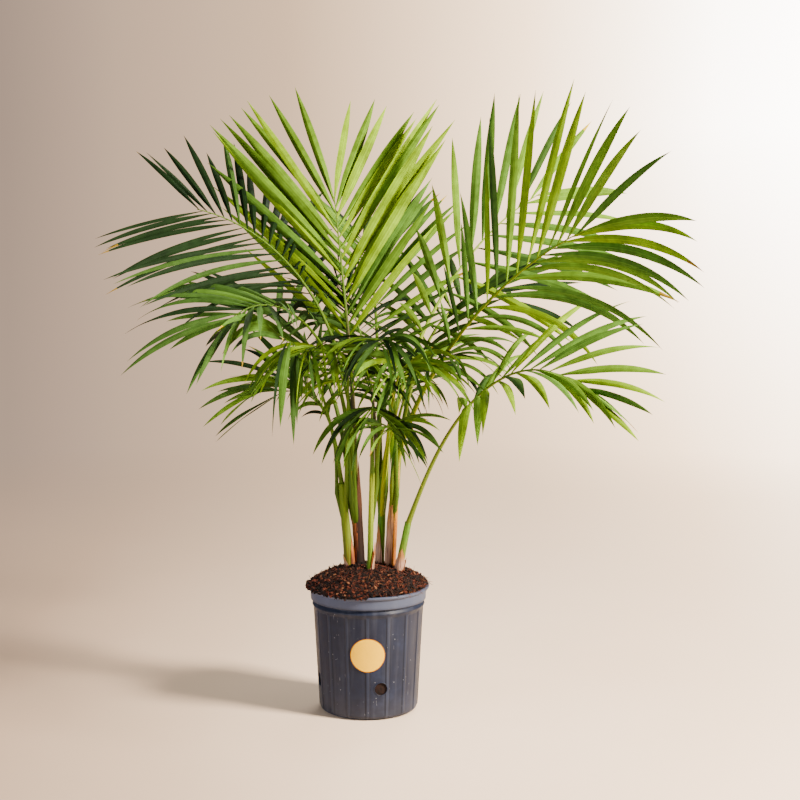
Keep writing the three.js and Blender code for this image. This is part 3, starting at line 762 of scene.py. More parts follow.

# %% [markdown]
# Angles are in degrees and lengths in metres. `root` is the frond's stem, how far up it the frond
# starts and the side it faces there. `heading` and `roll` each give a start and the change towards
# the tip. `lean` gives a start, the change and its power. `length` is the bare stalk and the blade.
# `leaf` is a leaflet's length and width, and `ends` the shares of that length at the blade's two
# ends. `spread` is the leaflets' angle at the foot and at the tip, and how late it changes. `slim`
# and `tilt` are for the left and the right side. `finer` multiplies the pairs of leaflets, `loose`
# is how unevenly they point, `tones` deals out the greens, and `dry` is the share of dried tips.
# The darker greens go mostly to the fronds on the left, at the back and inside the crown, as
# painted shade.

# %% Fronds
FROND_DEFAULTS = dict(
    heading=(0, 0), lean=(5, 90, 1.7), length=(0.2, 0.3), pairs=10, leaf=(0.28, 0.021), ends=(0.45, 0.85),
    spread=(70, 16, 1.2), skew=0, lift=20, roll=(0, 0), droop=0.3, tilt=(0, 0), finer=1, slim=(0.8, 0.8),
    loose=5, tones=(1, 3, 4, 2, 0), dry=0.1,
)
FRONDS = {
    "upright": dict(
        root=("brown", 1, 0), heading=(122, -22), lean=(1, 34, 1.41), length=(0.295, 0.33), pairs=14,
        leaf=(0.435, 0.027), ends=(0.7, 0.65), spread=(39, 8, 5.33), skew=1, lift=5, roll=(53, -58),
        droop=0.06, tilt=(14, 0), slim=(0.92, 1.0), tones=(6, 4, 1, 0, 0), dry=0.0,
    ),
    "left_high": dict(
        root=("brown", 0.93, 95), heading=(178, 9), lean=(1, 76, 1.72), length=(0.37, 0.355), pairs=14,
        leaf=(0.415, 0.021), ends=(0.45, 0.54), spread=(74, 37, 2.26), skew=12, lift=-11, roll=(7, 37),
        droop=0.2, tilt=(0, -55), finer=1.4, slim=(0.66, 1.0), tones=(0, 0, 0, 2, 8),
    ),
    "left_mid": dict(
        root=("brown", 0.86, 235), heading=(216, 16), lean=(2, 118, 2.0), length=(0.41, 0.22), pairs=9,
        leaf=(0.27, 0.02), ends=(0.49, 0.92), spread=(63, 18, 2.29), skew=7, lift=12, roll=(-1, 12),
        droop=0.54, tilt=(0, -50), finer=1.34, tones=(0, 0, 2, 5, 3), dry=0.25,
    ),
    "left_low": dict(
        root=("left", 0.94, 95), heading=(165, -7), lean=(7, 120, 2.6), length=(0.15, 0.165), pairs=8,
        leaf=(0.23, 0.014), roll=(15, 0), droop=0.4, tilt=(35, -30), slim=(0.95, 0.95), loose=9,
        tones=(0, 2, 4, 2, 1),
    ),
    "left_small": dict(
        root=("left", 0.88, 155), heading=(188, 5), lean=(1, 135, 2.8), length=(0.145, 0.16), pairs=7,
        leaf=(0.19, 0.013), droop=0.4, tilt=(40, -40), loose=12,
    ),
    "left_curl": dict(
        root=("left", 1, 0), heading=(234, 16), lean=(15, 64, 2.02), length=(0.35, 0.07), pairs=5,
        leaf=(0.24, 0.016), ends=(0.5, 1.0), spread=(50, 20, 0.8), skew=-11, lift=-10, roll=(16, 39),
        droop=1.2, tilt=(-50, 42), slim=(1.0, 1.0), loose=7, tones=(0, 0, 2, 4, 2), dry=0.35,
    ),
    "front_fan": dict(
        root=("front", 1, 0), heading=(268, 5), lean=(3, 113, 2.07), length=(0.155, 0.065), pairs=5,
        leaf=(0.17, 0.014), ends=(0.97, 0.95), spread=(95, 40, 1.93), skew=-17, lift=-16, roll=(-1, 1),
        droop=1.47, tilt=(50, 50), finer=1.8, slim=(1.0, 1.0), loose=9, tones=(0, 1, 4, 3, 1), dry=0.25,
    ),
    "right_front": dict(
        root=("right", 1, 0), heading=(-24, -38), lean=(6, 67, 0.76), length=(0.315, 0.475), pairs=14,
        leaf=(0.4, 0.025), ends=(0.22, 0.86), spread=(46, 8, 2.58), skew=-7, lift=-18, roll=(-107, -5),
        droop=0.5, tilt=(-32, -32), tones=(3, 5, 2, 1, 0),
    ),
    "right_high": dict(
        root=("middle", 1, 0), heading=(34, 7), lean=(9, 60, 1.15), length=(0.305, 0.455), pairs=11,
        leaf=(0.345, 0.027), ends=(0.42, 0.65), spread=(82, 16, 2.28), skew=4, lift=39, roll=(-85, 22),
        droop=0.26, tilt=(20, 8), tones=(1, 4, 4, 1, 0),
    ),
    "right_low": dict(
        root=("outer", 1, 0), heading=(-40, -22), lean=(24, 93, 1.65), length=(0.295, 0.405), pairs=11,
        leaf=(0.265, 0.02), ends=(1.0, 0.66), spread=(91, 7, 0.81), skew=-24, lift=8, roll=(-40, 15),
        droop=0.42, tilt=(-58, -50), finer=1.2, slim=(0.95, 0.95), tones=(3, 5, 2, 1, 0), dry=0.2,
    ),
    "centre_fan": dict(
        root=("middle", 0.9, 275), heading=(290, -17), lean=(13, 86, 1.7), length=(0.25, 0.18), pairs=8,
        leaf=(0.2, 0.016), droop=1.3, tilt=(45, 40), finer=2, loose=16, tones=(1, 4, 3, 1, 0),
    ),
    "right_small": dict(
        root=("front", 0.9, 20), heading=(-75, 0), lean=(2, 130, 1.5), length=(0.12, 0.12), pairs=6,
        leaf=(0.16, 0.012), droop=0.9, tilt=(50, 40), finer=1.4, slim=(1.0, 1.0), loose=8, dry=0.3,
    ),
    "back_tall": dict(
        root=("middle", 0.93, 120), heading=(92, 8), lean=(4, 75, 1.5), length=(0.225, 0.42), pairs=13,
        leaf=(0.29, 0.021), lift=25, droop=0.2, finer=1.4, tones=(0, 1, 4, 4, 1),
    ),
    "back_left": dict(
        root=("brown", 0.8, 145), heading=(128, 6), lean=(8, 110, 1.7), length=(0.24, 0.38), pairs=11,
        leaf=(0.27, 0.021), lift=25, tilt=(45, 0), tones=(0, 1, 4, 4, 2),
    ),
    "back_right": dict(
        root=("right", 0.92, 70), heading=(55, -8), lean=(8, 105, 1.7), length=(0.24, 0.38), pairs=11,
        leaf=(0.27, 0.021), lift=25, tilt=(0, 45), tones=(0, 1, 4, 4, 2),
    ),
    "back_low": dict(
        root=("middle", 0.84, 60), heading=(80, 10), lean=(14, 130, 1.9), length=(0.18, 0.28),
        leaf=(0.24, 0.021), droop=0.4, finer=1.5, tones=(0, 1, 4, 4, 2),
    ),
    "centre_left": dict(
        root=("brown", 0.8, 260), heading=(245, 0), lean=(3, 105, 2.4), length=(0.32, 0.15), pairs=7,
        leaf=(0.2, 0.016), lift=5, droop=1.5, tilt=(40, 35), finer=2, loose=16, tones=(3, 4, 2, 1, 0),
    ),
    "centre_right": dict(
        root=("right", 0.85, 300), heading=(262, 0), lean=(5, 100, 2.2), length=(0.33, 0.15), pairs=7,
        leaf=(0.19, 0.015), lift=5, droop=1.4, tilt=(45, 35), finer=2, loose=16, tones=(0, 1, 3, 4, 2),
    ),
    "inner_left": dict(
        root=("left", 0.97, 320), heading=(285, -20), lean=(2, 85, 2.0), length=(0.2, 0.15), pairs=6,
        leaf=(0.19, 0.014), spread=(75, 20, 1.2), lift=5, droop=1.6, tilt=(20, 25), finer=2, loose=18,
        tones=(1, 2, 3, 2, 1),
    ),
    "inner_right": dict(
        root=("right", 0.96, 250), heading=(-50, 10), lean=(4, 80, 2.0), length=(0.2, 0.16), pairs=6,
        leaf=(0.2, 0.014), spread=(75, 20, 1.2), lift=5, droop=1.4, tilt=(35, 40), finer=2, loose=18,
        tones=(0, 1, 3, 4, 2),
    ),
    "inner_back": dict(
        root=("middle", 0.97, 170), heading=(120, 10), lean=(3, 45, 1.8), length=(0.2, 0.24), pairs=7,
        leaf=(0.22, 0.015), spread=(75, 20, 1.2), lift=10, droop=1.1, finer=2.6, loose=14,
        tones=(0, 0, 1, 3, 6),
    ),
}
CROWN_SIDES = ("left", "right", "back")
LONG_LEAF = 0.26
STALK_THIN, STALK_THICK = 0.005, 0.0065
for number, (name, values) in enumerate(FRONDS.items()):
    frond = FRONDS[name] = {**FROND_DEFAULTS, **values, "name": name, "seed": number + 1}
    frond["side"] = name.split("_")[0] if name.startswith(CROWN_SIDES) else "middle"
    frond["thick"] = STALK_THICK if frond["leaf"][0] > LONG_LEAF else STALK_THIN
    frond["grown"] = round(frond["pairs"] * frond["finer"])
print(len(FRONDS), "fronds")


# %% The rule for lines and directions
UP = Vector((0, 0, 1))
LINE_STEPS = 48
TRAITS = dict(
    spread=0, lift=3, length=7, droop=11, tilt=17, twist=19, fold=23, curl=29, width=31, tone=37, dry=41,
    tip=43, dried=47,
)


def mix(first, second, share):
    """A value part of the way from one to another."""
    return first + (second - first) * share


def luck(frond, trait, key):
    """A repeatable number from 0 to 1 for one trait of one leaflet."""
    return sin((frond["seed"] + TRAITS[trait]) * 12.9898 + key * 78.233) * 43758.5453 % 1


def frame_at(frond, share):
    """Direction of the rib, and the blade's sideways and upper directions, at a share of its length."""
    start, change, power = frond["lean"]
    lean = radians(start + change * share**power)
    turns = (frond["heading"], frond["roll"])
    heading, roll = (radians(start + change * share) for start, change in turns)
    out = ray(heading)
    level = Vector((out.y, -out.x, 0))
    above = UP * sin(lean) - out * cos(lean)
    side = level * cos(roll) + above * sin(roll)
    return out * sin(lean) + UP * cos(lean), side, above * cos(roll) - level * sin(roll)


def stem_point(stem, level):
    """A point on a stem's axis and the stem's radius there."""
    foot = Vector((*stem["foot"], STEM_FOOT_Z))
    return foot.lerp(Vector(stem["tip"]), level), mix(stem["low"], stem["high"], level)


def rib_line(frond):
    """Points from the frond's root to its tip."""
    stem, level, face = frond["root"]
    at, radius = stem_point(STEMS[stem], level)
    if level < 1:
        at += ray(radians(face)) * (radius + frond["thick"])
    line = [at.copy()]
    for i in range(LINE_STEPS):
        at += frame_at(frond, (i + 0.5) / LINE_STEPS)[0] * (sum(frond["length"]) / LINE_STEPS)
        line.append(at.copy())
    return line


def point_on(line, share):
    """The point at a share of a line's length."""
    index = min(int(share * LINE_STEPS), LINE_STEPS - 1)
    return line[index].lerp(line[index + 1], share * LINE_STEPS - index)


for frond in FRONDS.values():
    frond["line"] = rib_line(frond)
print("highest rib tip at", round(max(frond["line"][-1].z for frond in FRONDS.values()), 3), "m")

# %% [markdown]
# ## Leaflets
#
# A majesty palm's leaflet is a long blade folded along its middle like a shallow roof, narrow where
# it leaves the rib and drawn out to a fine tip. Each one is a tube of eight points a ring: the two
# edges, the crease, and the swell of either half, above and below. It droops by the rule of the
# solids, and here it also twists a little and curls at its tip.

# %% Leaflet shape
LEAF_RINGS = 16
LEAF_RUNS = [1 - (1 - ring / (LEAF_RINGS - 1)) ** 1.6 for ring in range(LEAF_RINGS)]
LEAF_TILT = radians(14)
LEAF_THICKNESS = 0.0007
LEAF_ACROSS = [0.0, 0.25, 0.5, 0.75, 1.0, 0.75, 0.5, 0.25]
UPRIGHT_HOLD = 0.8
SHORT_LEAF_WIDTH = 0.35
TILTS = (-4, 4)
TWISTS = (-35, 45)
FOLDS = (14, 28)
WIDTHS = (0.86, 1.08)


def leaf_width(share):
    """Width along a leaflet, as a share of the widest."""
    swell = min(0.24 + 2.2 * share, 1)
    swell = swell * swell * (3 - 2 * swell)
    return max(swell * (1 - max((share - 0.55) / 0.45, 0) ** 1.9), 0.03)


def leaflet_start(frond, place, key, hand):
    """Where a leaflet starts, the rib's directions there, and the leaflet's own direction and length.

    place runs from 0 at the blade's foot to 1 at its tip."""
    stalk, blade = frond["length"]
    share = (stalk + blade * place) / (stalk + blade)
    along, side, up = frame_at(frond, share)
    wobble = [(luck(frond, trait, key) - 0.5) * 2 * frond["loose"] for trait in ("spread", "lift")]
    foot_angle, tip_angle, lateness = frond["spread"]
    angle = radians(mix(foot_angle, tip_angle, place**lateness) + hand * frond["skew"] + wobble[0])
    lift = radians(frond["lift"] + wobble[1])
    outward = side * hand * cos(lift) + up * sin(lift)
    start = along * cos(angle) + outward * sin(angle)
    first, last = frond["ends"]
    length = frond["leaf"][0] * mix(first, 1, min(place / 0.4, 1))
    length *= mix(1, last, max((place - 0.5) / 0.5, 0))
    length *= 1 - 0.12 * luck(frond, "length", key)
    return point_on(frond["line"], share), along, up, start, length


def leaflet(frond, index, hand):
    """The rings of one leaflet."""
    right = hand > 0
    key = index * 2 + right
    place = (index + 0.5 + 0.25 * hand) / frond["grown"]
    at, along, up, start, length = leaflet_start(frond, place, key, hand)
    droop = frond["droop"] * (1 + 1.5 * (1 - place)) * (0.6 + 0.8 * luck(frond, "droop", key))
    droop *= 1 - UPRIGHT_HOLD * max(start.z, 0)
    curl = 0.25 * frond["droop"] * luck(frond, "curl", key)
    tilt = LEAF_TILT + radians(mix(*TILTS, luck(frond, "tilt", key)) * frond["loose"])
    tilt += radians(frond["tilt"][right])
    twist = radians(mix(*TWISTS, luck(frond, "twist", key)))
    fold = radians(mix(*FOLDS, luck(frond, "fold", key)))
    leaf, width = frond["leaf"]
    half = width / 2 * frond["slim"][right] * mix(*WIDTHS, luck(frond, "width", key))
    half *= mix(SHORT_LEAF_WIDTH, 1, length / leaf) / frond["finer"] ** 0.3

    def heading_at(run):
        """The leaflet's direction at a share of its length."""
        return (start - UP * (droop * run**1.5 + curl * run**4)).normalized()

    rings = []
    for ring, run in enumerate(LEAF_RUNS):
        heading = heading_at(run)
        flat = (along - heading * along.dot(heading)).normalized()
        upper = flat.cross(heading)
        if upper.dot(up) < 0:
            upper.negate()
        up = upper
        turn = tilt + twist * run * run
        across = flat * cos(turn) + upper * sin(turn)
        face = upper * cos(turn) - flat * sin(turn)
        slope = fold * mix(1.5, 0.6, min(run * 2, 1))
        drop = sin(slope) * half * leaf_width(run)
        wide = cos(slope) * half * leaf_width(run)
        thick = LEAF_THICKNESS * mix(1.6, 0.6, run) * min(leaf_width(run) * 3 + 0.3, 1)
        over, under = drop * 0.40 - thick * 0.4, drop * 0.46 + thick * 0.5
        outline = (
            (-1, drop), (-0.5, over), (0, -thick * 0.5), (0.5, over), (1, drop), (0.5, under), (0, thick),
            (-0.5, under),
        )
        rings.append([at + across * wide * out - face * low for out, low in outline])
        if ring < LEAF_RINGS - 1:
            step = LEAF_RUNS[ring + 1] - run
            at = at + heading_at(run + step / 2) * (length * step)
    return np.array(rings)


print("a leaflet has", LEAF_RINGS, "rings of", len(LEAF_ACROSS), "points")

# %% [markdown]
# ### Leaf green
#
# Leaflets are not one green. New fronds are yellow-green, old ones deep green, and tips dry to
# yellow and brown. Each leaflet takes one of a few plain greens, dealt out by frond, and inside each
# green the crease is paler and fine veins run lengthwise. The veins follow the leaflet's own UV map.
# Little light reaches the heart of the crown, so every green is painted darker there as shade.

# %% Leaf materials
LEAF_TONES = {
    "leaf fresh": "76980a",
    "leaf bright": "648a20",
    "leaf middle": "4d7226",
    "leaf deep": "375420",
    "leaf dark": "182a14",
    "leaf yellow tip": "c0a818",
    "leaf dry tip": "7c6418",
}
YELLOW_TIP = 5
DRY_TIP = 6
CROWN_HEART = (-0.02, 0.0, 0.72)


def leaf_material(name, code):
    """Leaf green with a paler crease, fine veins and painted shade towards the crown's heart."""
    material, tree = new_material(name)
    across, along = uv_of(tree)
    base = np.array(srgb(code)[:3])
    dark, plain, light, pale = [(*np.minimum(base * share, 1), 1) for share in (0.62, 1.0, 1.35, 1.5)]
    color = ramp(tree, mask_of(tree, mottle, 14.0), (0.34, dark), (0.5, plain), (0.66, light))
    wave = math_node(tree, "SINE", times(tree, across, 25.0))
    veins = math_node(tree, "ADD", times(tree, wave, 0.5), 0.5)
    veins = times(tree, veins, ramp(tree, along, (0.55, 1.0), (0.9, 0.0)))
    color = tint(tree, color, veins, 0.5, (0.6, 0.62, 0.5, 1), "MULTIPLY")
    from_crease = math_node(tree, "ABSOLUTE", math_node(tree, "SUBTRACT", across, 0.5))
    color = tint(tree, color, ramp(tree, from_crease, (0.01, 1.0), (0.06, 0.0)), 0.4, pale)
    # Painted shade: every green is darkened towards the heart of the crown.
    from_heart = vector_node(tree, "DISTANCE", place_of(tree), CROWN_HEART)
    color = blend(tree, 1.0, color, ramp(tree, from_heart, (0.1, 0.5), (0.32, 1.0)), "MULTIPLY")
    return coat(material, color, roughness=0.6, shine=0.03)


leaf_materials = [leaf_material(name, code) for name, code in LEAF_TONES.items()]
print(len(leaf_materials), "leaf tones")


# %% Grow the leaflets
def leaf_slots(frond, key):
    """The tone of a leaflet for every step along it, with a dried tip on some."""
    weights = np.cumsum(frond["tones"]) / sum(frond["tones"])
    steps = [int(np.searchsorted(weights, luck(frond, "tone", key)))] * (LEAF_RINGS - 1)
    if luck(frond, "dry", key) < frond["dry"]:
        dried = 2 + int(3 * luck(frond, "dried", key))
        steps[-dried:] = [DRY_TIP if luck(frond, "tip", key) < 0.5 else YELLOW_TIP] * dried
    return steps


sides = {}
for frond in FRONDS.values():
    names, tubes, slots = sides.setdefault("leaflets_" + frond["side"], ([], [], []))
    names.append("frond_" + frond["name"])
    for index in range(frond["grown"]):
        for hand in (1, -1):
            tubes.append(leaflet(frond, index, hand))
            slots.append(leaf_slots(frond, index * 2 + (hand > 0)))
for name, (names, tubes, slots) in sides.items():
    keep(name, join_tubes(name, tubes, LEAF_ACROSS, slots, 22), leaf_materials, names)

# %% [markdown]
# ## Stalks and ribs
#
# Each frond's stalk grows out of its stem in a short sheath, runs on as the rib and ends as thin as
# a straw. It is flat or slightly hollow on its upper side and round below.


# %% Stalk shape
STALK_SIDES = 10
STALK_TURNS = [corner / STALK_SIDES * FULL_TURN for corner in range(STALK_SIDES)]
STALK_HEEL = 0.45
STALK_HOLLOW = 0.42
RIB_END = 0.0009


def stalk(frond):
    """Rings along a frond's stalk and rib."""
    stem, level, _ = frond["root"]
    stations = [(stem_point(STEMS[stem], level - STALK_HEEL)[0], 0.0, frond["thick"] * 0.9)]
    for share in (step / LINE_STEPS for step in range(LINE_STEPS + 1)):
        radius = mix(frond["thick"], RIB_END, share**0.9) * (1 + 0.12 * max(0, 1 - share * 14))
        stations.append((point_on(frond["line"], share), share, radius))
    rings = []
    for at, share, radius in stations:
        _, side, up = frame_at(frond, share)
        ring = []
        for angle in STALK_TURNS:
            hollow = 1 - STALK_HOLLOW * max(0, sin(angle)) ** 3
            ring.append(at + side * cos(angle) * radius + up * sin(angle) * radius * hollow)
        rings.append(ring)
    return np.array(rings)


def stalk_material(name, stripe, *stops):
    """A smooth stalk that changes colour along it, with a paler stripe and faint grain."""
    material, tree = new_material(name)
    across, along = uv_of(tree)
    color = tint(tree, ramp(tree, along, *stops), ramp(tree, across, (0.55, 0.0), (0.8, 1.0)), 0.5, stripe)
    lines = mask_of(tree, grain, 260.0)
    color = tint(tree, color, lines, 0.25, "2c4410")
    return coat(material, color, roughness=0.5, shine=0.12, height=lines, strength=0.2, depth=0.0005)


stalk_materials = [
    stalk_material("stalk green", "76841c", (0.0, "445a12"), (0.5, "4e6e14")),
    stalk_material("stalk yellow", "aca81c", (0.0, "748410"), (0.5, "668612")),
    stalk_material(
        "stalk shaded", "5c4a30", (0.1, "6e7a20"), (0.22, "3a3020"), (0.5, "36301c"), (0.64, "567a1c")
    ),
]
GREEN, YELLOW, SHADED = range(3)
STALK_KINDS = dict(
    upright=SHADED, inner_back=SHADED, right_high=YELLOW, right_front=YELLOW, centre_fan=YELLOW
)
stalk_across = [0.5 + 0.5 * cos(angle) for angle in STALK_TURNS]
stalk_slots = [[STALK_KINDS.get(name, GREEN)] * (LINE_STEPS + 1) for name in FRONDS]
stalk_mesh = join_tubes("stalks", [stalk(frond) for frond in FRONDS.values()], stalk_across, stalk_slots)
keep("stalks", stalk_mesh, stalk_materials, ["petiole_" + name for name in FRONDS])

# %% [markdown]
# ## Stems
#
# A stem here is a bundle of old leaf bases wrapped round each other. Its skin runs from tan at the
# soil to green above, with long fibres, and dead sheaths cling to it: brown, split and pointed.
# The stem is a tube with shallow folds, and each sheath is a part tube that stands off it.


# %% Fibrous skin
def fibrous(name, stops, scale, shift, dark_from, strength, dark, roughness, shine):
    """A skin that changes colour along its tube, with dark lines lengthwise."""
    material, tree = new_material(name)
    lines = mask_of(tree, grain, scale)
    color = ramp(tree, math_node(tree, "ADD", uv_of(tree)[1], times(tree, lines, shift)), *stops)
    color = tint(tree, color, ramp(tree, lines, (dark_from, 1.0), (0.5, 0.0)), strength, dark)
    return coat(material, color, roughness, shine, height=lines, strength=0.5, depth=0.001)


def stem_material(name, low, middle, high):
    """Green or tan skin with fine fibres."""
    return fibrous(
        name, [(0.25, low), (0.55, middle), (1.0, high)], scale=320.0, shift=0.5, dark_from=0.36,
        strength=0.45, dark="3a2613", roughness=0.55, shine=0.12,
    )


def sheath_material(name, low, middle, high):
    """Dry fibre that lightens towards the sheath's tip."""
    return fibrous(
        name, [(0.3, low), (0.7, middle), (0.78125, middle), (1.0, high)], scale=420.0, shift=0.6,
        dark_from=0.38, strength=0.6, dark="1e120b", roughness=0.7, shine=0.2,
    )


# %% Dead sheaths
SHEATH_RINGS = 22
SHEATH_ARC = 7
SHEATH_TONES = {
    "sheath brown": ("4a2413", "7c4220", "a8662c"),
    "sheath dark": ("140b08", "2a1710", "4e2f1c"),
    "sheath tan": ("9a6e55", "b58c74", "a8743f"),
    "sheath orange": ("8f5320", "b06c22", "c9a032"),
}
BROWN, DARK, TAN, ORANGE = range(4)
SHEATHS = [
    (BROWN, dict(stem="left", high=0.42, face=-30, wide=42, stand=0.0010)),
    (TAN, dict(stem="left", high=0.20, face=200, wide=70, stand=0.0008)),
    (BROWN, dict(stem="brown", high=1.0, face=222, wide=74, stand=0.0022)),
    (DARK, dict(stem="brown", high=1.3, face=-42, wide=76, stand=0.0026)),
    (DARK, dict(stem="brown", high=0.8, face=-100, wide=34, stand=0.0012)),
    (BROWN, dict(stem="front", high=0.34, face=-18, wide=64, stand=0.0020)),
    (TAN, dict(stem="front", high=0.26, face=-35, wide=30, stand=0.0030)),
    (TAN, dict(stem="middle", high=0.5, face=-120, wide=60, stand=0.0014)),
    (TAN, dict(stem="right", high=0.92, face=-116, wide=84, stand=0.0016)),
    (ORANGE, dict(stem="right", high=1.24, face=-44, wide=34, stand=0.0028)),
    (TAN, dict(stem="outer", high=0.5, face=-100, wide=100, stand=0.0014)),
    (BROWN, dict(stem="outer", high=0.3, face=20, wide=60, stand=0.0018)),
]


def sheath(stem, high, face, wide, stand):
    """Rings up a dead sheath: a strip that wraps part of its stem, narrows and ends in a point."""
    rings = []
    for share in np.linspace(0, 1, SHEATH_RINGS + 1):
        at, radius = stem_point(STEMS[stem], high * share)
        half = radians(wide) * max(1 - share**1.6, 0.015)
        outer, inner = [], []
        for corner in range(SHEATH_ARC):
            angle = radians(face) + half * mix(-1, 1, corner / (SHEATH_ARC - 1))
            crease = 0.0004 * sin(11 * angle + 3 * share)
            reach = radius + stand * (1 + 1.2 * share * share) + crease
            outer.append(at + ray(angle) * reach)
            inner.append(at + ray(angle) * (reach - mix(0.0011, 0.0004, share)))
        rings.append(outer + inner[::-1])
    return np.array(rings)


sheath_tubes = [sheath(**values) for _, values in SHEATHS]
sheath_slots = [[tone] * SHEATH_RINGS for tone, _ in SHEATHS]
sheath_across = np.linspace(0, 1, SHEATH_ARC).tolist()
sheath_mesh = join_tubes("sheaths", sheath_tubes, sheath_across + sheath_across[::-1], sheath_slots, 50)
sheath_materials = [sheath_material(name, *tones) for name, tones in SHEATH_TONES.items()]
keep("dead_sheaths", sheath_mesh, sheath_materials)

# %% Stems
STEM_RINGS = 40
STEM_SIDES = 28
STEM_TONES = {
    "left": ("6a5a1e", "646f1a", "607618"),
    "brown": ("1a0e09", "3a2216", "7c8a1e"),
    "front": ("4c6a18", "66801a", "86981a"),
    "middle": ("5d5a20", "4f7a1a", "4a7218"),
    "right": ("8a5a40", "9c7054", "8f9c20"),
    "outer": ("8f6844", "6c7c20", "55801c"),
}


def stem_tube(stem, seed):
    """Rings up a stem with the folds of its wrapped leaf bases."""
    rings = []
    for level in (step / STEM_RINGS for step in range(STEM_RINGS + 1)):
        at, radius = stem_point(stem, level)
        ring = []
        for corner in range(STEM_SIDES):
            angle = corner / STEM_SIDES * FULL_TURN
            turn = angle + seed + 0.5 * level
            wrap = 0.07 * exp(-((turn % 2.2) / 0.3)) + 0.03 * sin(5 * turn)
            rough = 0.03 * noise.noise(Vector((angle, level * 9, seed)))
            ring.append(at + ray(angle) * (radius * (0.97 + wrap + rough)))
        rings.append(ring)
    return np.array(rings)


stem_tubes = [stem_tube(stem, index + 1) for index, stem in enumerate(STEMS.values())]
stem_slots = [[index] * STEM_RINGS for index in range(len(STEMS))]
stem_across = np.abs(np.linspace(-1, 1, STEM_SIDES, endpoint=False)).tolist()
stem_materials = [stem_material("stem " + name, *STEM_TONES[name]) for name in STEMS]
stem_mesh = join_tubes("stems", stem_tubes, stem_across, stem_slots)
keep("stems", stem_mesh, stem_materials, ["stem_" + name for name in STEMS])

# %% [markdown]
# ## Floor and light
#
# The photograph has a warm pale sweep of paper and a soft light at the right, higher than the plant.
# The floor is one very wide disc, so that other views see no edge. Far from the plant it shines like
# the sweep behind it, so that the two meet without a line.

# %% The sweep
SWEEP_EDGE = 0.196
SWEEP_FOOT = -0.185
DIM_STOPS, BRIGHT_STOPS = -0.95, 3.6
HIGH_GLOW = ((0.0, 0.0), (0.14, 0.15), (0.35, 0.28), (0.65, 0.64), (0.9, 0.94), (1.0, 1.0))
LOW_GLOW = ((0.0, 0.04), (0.14, 0.14), (0.25, 0.21), (0.35, 0.28), (0.65, 0.45), (0.9, 0.66), (1.0, 0.74))
GLOW_COLORS = (
    (0.0, (1.0, 0.71, 0.54, 1)), (0.3, (1.0, 0.67, 0.42, 1)), (0.65, (1.0, 0.70, 0.44, 1)),
    (0.8, (1.0, 0.78, 0.58, 1)), (1.0, (1.0, 0.93, 0.86, 1)),
)


def sweep(tree, direction):
    """Colour and strength of the lit paper behind the plant, from dim at the left to bright at the right."""
    aside, _, rise = parts_of(tree, direction)
    share = span(tree, aside, -SWEEP_EDGE, SWEEP_EDGE)
    height = span(tree, rise, SWEEP_FOOT, 0.0)
    level = blend(tree, height, ramp(tree, share, *LOW_GLOW), ramp(tree, share, *HIGH_GLOW))
    stops = span(tree, level, 0.0, 1.0, DIM_STOPS, BRIGHT_STOPS)
    return ramp(tree, level, *GLOW_COLORS), math_node(tree, "POWER", 2.0, stops)


print("the sweep brightens by", BRIGHT_STOPS - DIM_STOPS, "stops from left to right")


# %% Floor
FLOOR_RADIUS = 60
SWEEP_FROM, SWEEP_WHOLE = 0.4, 3.5
BLACK = (0, 0, 0, 1)
PAINTED_FLOOR_SHADE = (0.0, (0.62, 0.56, 0.52, 1)), (0.6, (0.8, 0.77, 0.74, 1)), (1.0, 1.0)


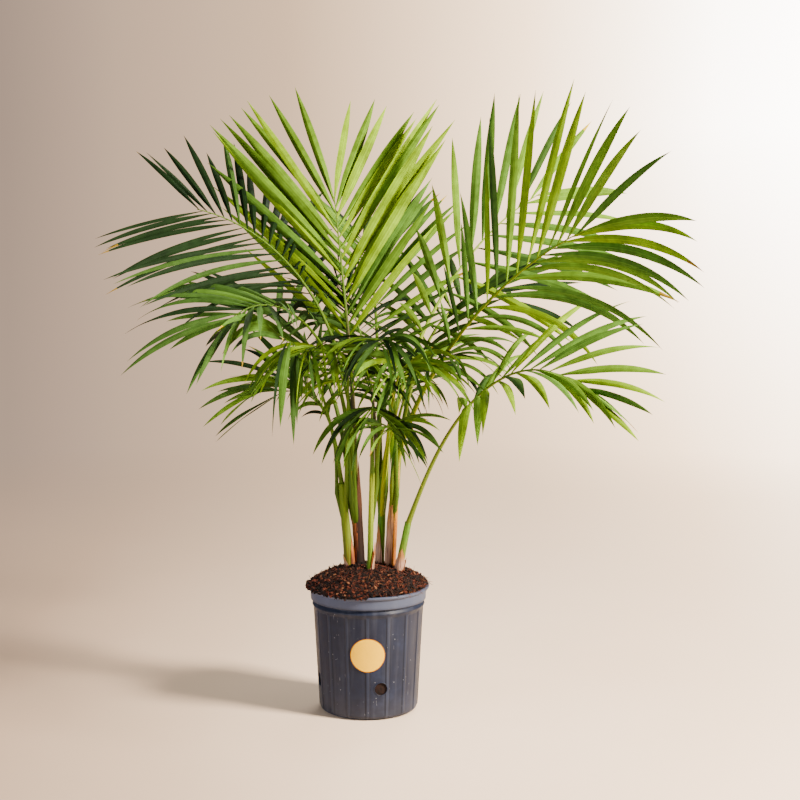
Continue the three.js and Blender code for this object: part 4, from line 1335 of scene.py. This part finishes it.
def floor_paper():
    """Pale paper near the plant, with painted shade at the left, that turns into the sweep's glow further
    away.
    """
    material, tree = new_material("floor paper")
    place = place_of(tree)
    far = span(tree, vector_node(tree, "LENGTH", place), SWEEP_FROM, SWEEP_WHOLE)
    color = ramp(tree, mask_of(tree, mottle, 0.6), (0.3, "ecd4ba"), (0.7, "f3dbc2"))
    # Painted shade: near the plant the paper is darkened towards the left, away from the key light.
    shade = ramp(tree, span(tree, parts_of(tree, place)["X"], -0.85, 0.0), *PAINTED_FLOOR_SHADE)
    color = blend(tree, far, blend(tree, 1.0, color, shade, "MULTIPLY"), BLACK)
    seen = vector_node(tree, "NORMALIZE", vector_node(tree, "SUBTRACT", place, CAMERA_PLACE))
    glow_color, glow = sweep(tree, seen)
    glow = times(tree, glow, times(tree, far, add(tree, "LightPath").outputs["Is Camera Ray"]))
    return coat(material, color, roughness=0.9, shine=0.0, Emission_Color=glow_color, Emission_Strength=glow)


disc = bmesh.new()
bmesh.ops.create_circle(disc, cap_ends=True, segments=64, radius=FLOOR_RADIUS)
floor = put("floor", mesh_from(disc, "floor", 180))
floor.data.materials.append(floor_paper())
print("floor laid")

# %% Studio
STUDIO_COLOR = (1.0, 0.94, 0.88, 1)
STUDIO_STRENGTH = 0.27
world = bpy.data.worlds.new("studio")
world.use_nodes = True
studio = world.node_tree
ambient = studio.nodes["Background"]
ambient.inputs["Color"].default_value = STUDIO_COLOR
ambient.inputs["Strength"].default_value = STUDIO_STRENGTH
sweep_color, sweep_glow = sweep(studio, add(studio, "TexCoord").outputs["Generated"])
backdrop = add(studio, "Background", {"Color": sweep_color, "Strength": sweep_glow})
seen = add(studio, "LightPath").outputs["Is Camera Ray"]
both = add(studio, "MixShader", {0: seen, 1: ambient.outputs[0], 2: backdrop.outputs[0]})
feed(studio, studio.nodes["World Output"].inputs["Surface"], both.outputs[0])
bpy.context.scene.world = world
print("studio light at", STUDIO_STRENGTH)


# %% Lights
def soft_light(name, place, target, size, power, color):
    """A square area light that faces a target."""
    data = bpy.data.lights.new(name, "AREA")
    data.size = size
    data.energy = power
    data.color = srgb(color)[:3]
    lamp = put(name, data)
    lamp.location = place
    lamp.rotation_euler = (Vector(target) - Vector(place)).to_track_quat("-Z", "Y").to_euler()


soft_light("key", (2.9, -1.5, 2.35), (0, 0, 0.5), 0.8, 690, "fff0de")
soft_light("fill", (-3.4, -2.4, 0.8), (0, 0, 0.4), 2.0, 115, "e8eeff")
soft_light("top", (0.8, 2.4, 3.4), (0, 0, 0.8), 1.6, 110, "fffaf2")
print("lights placed")
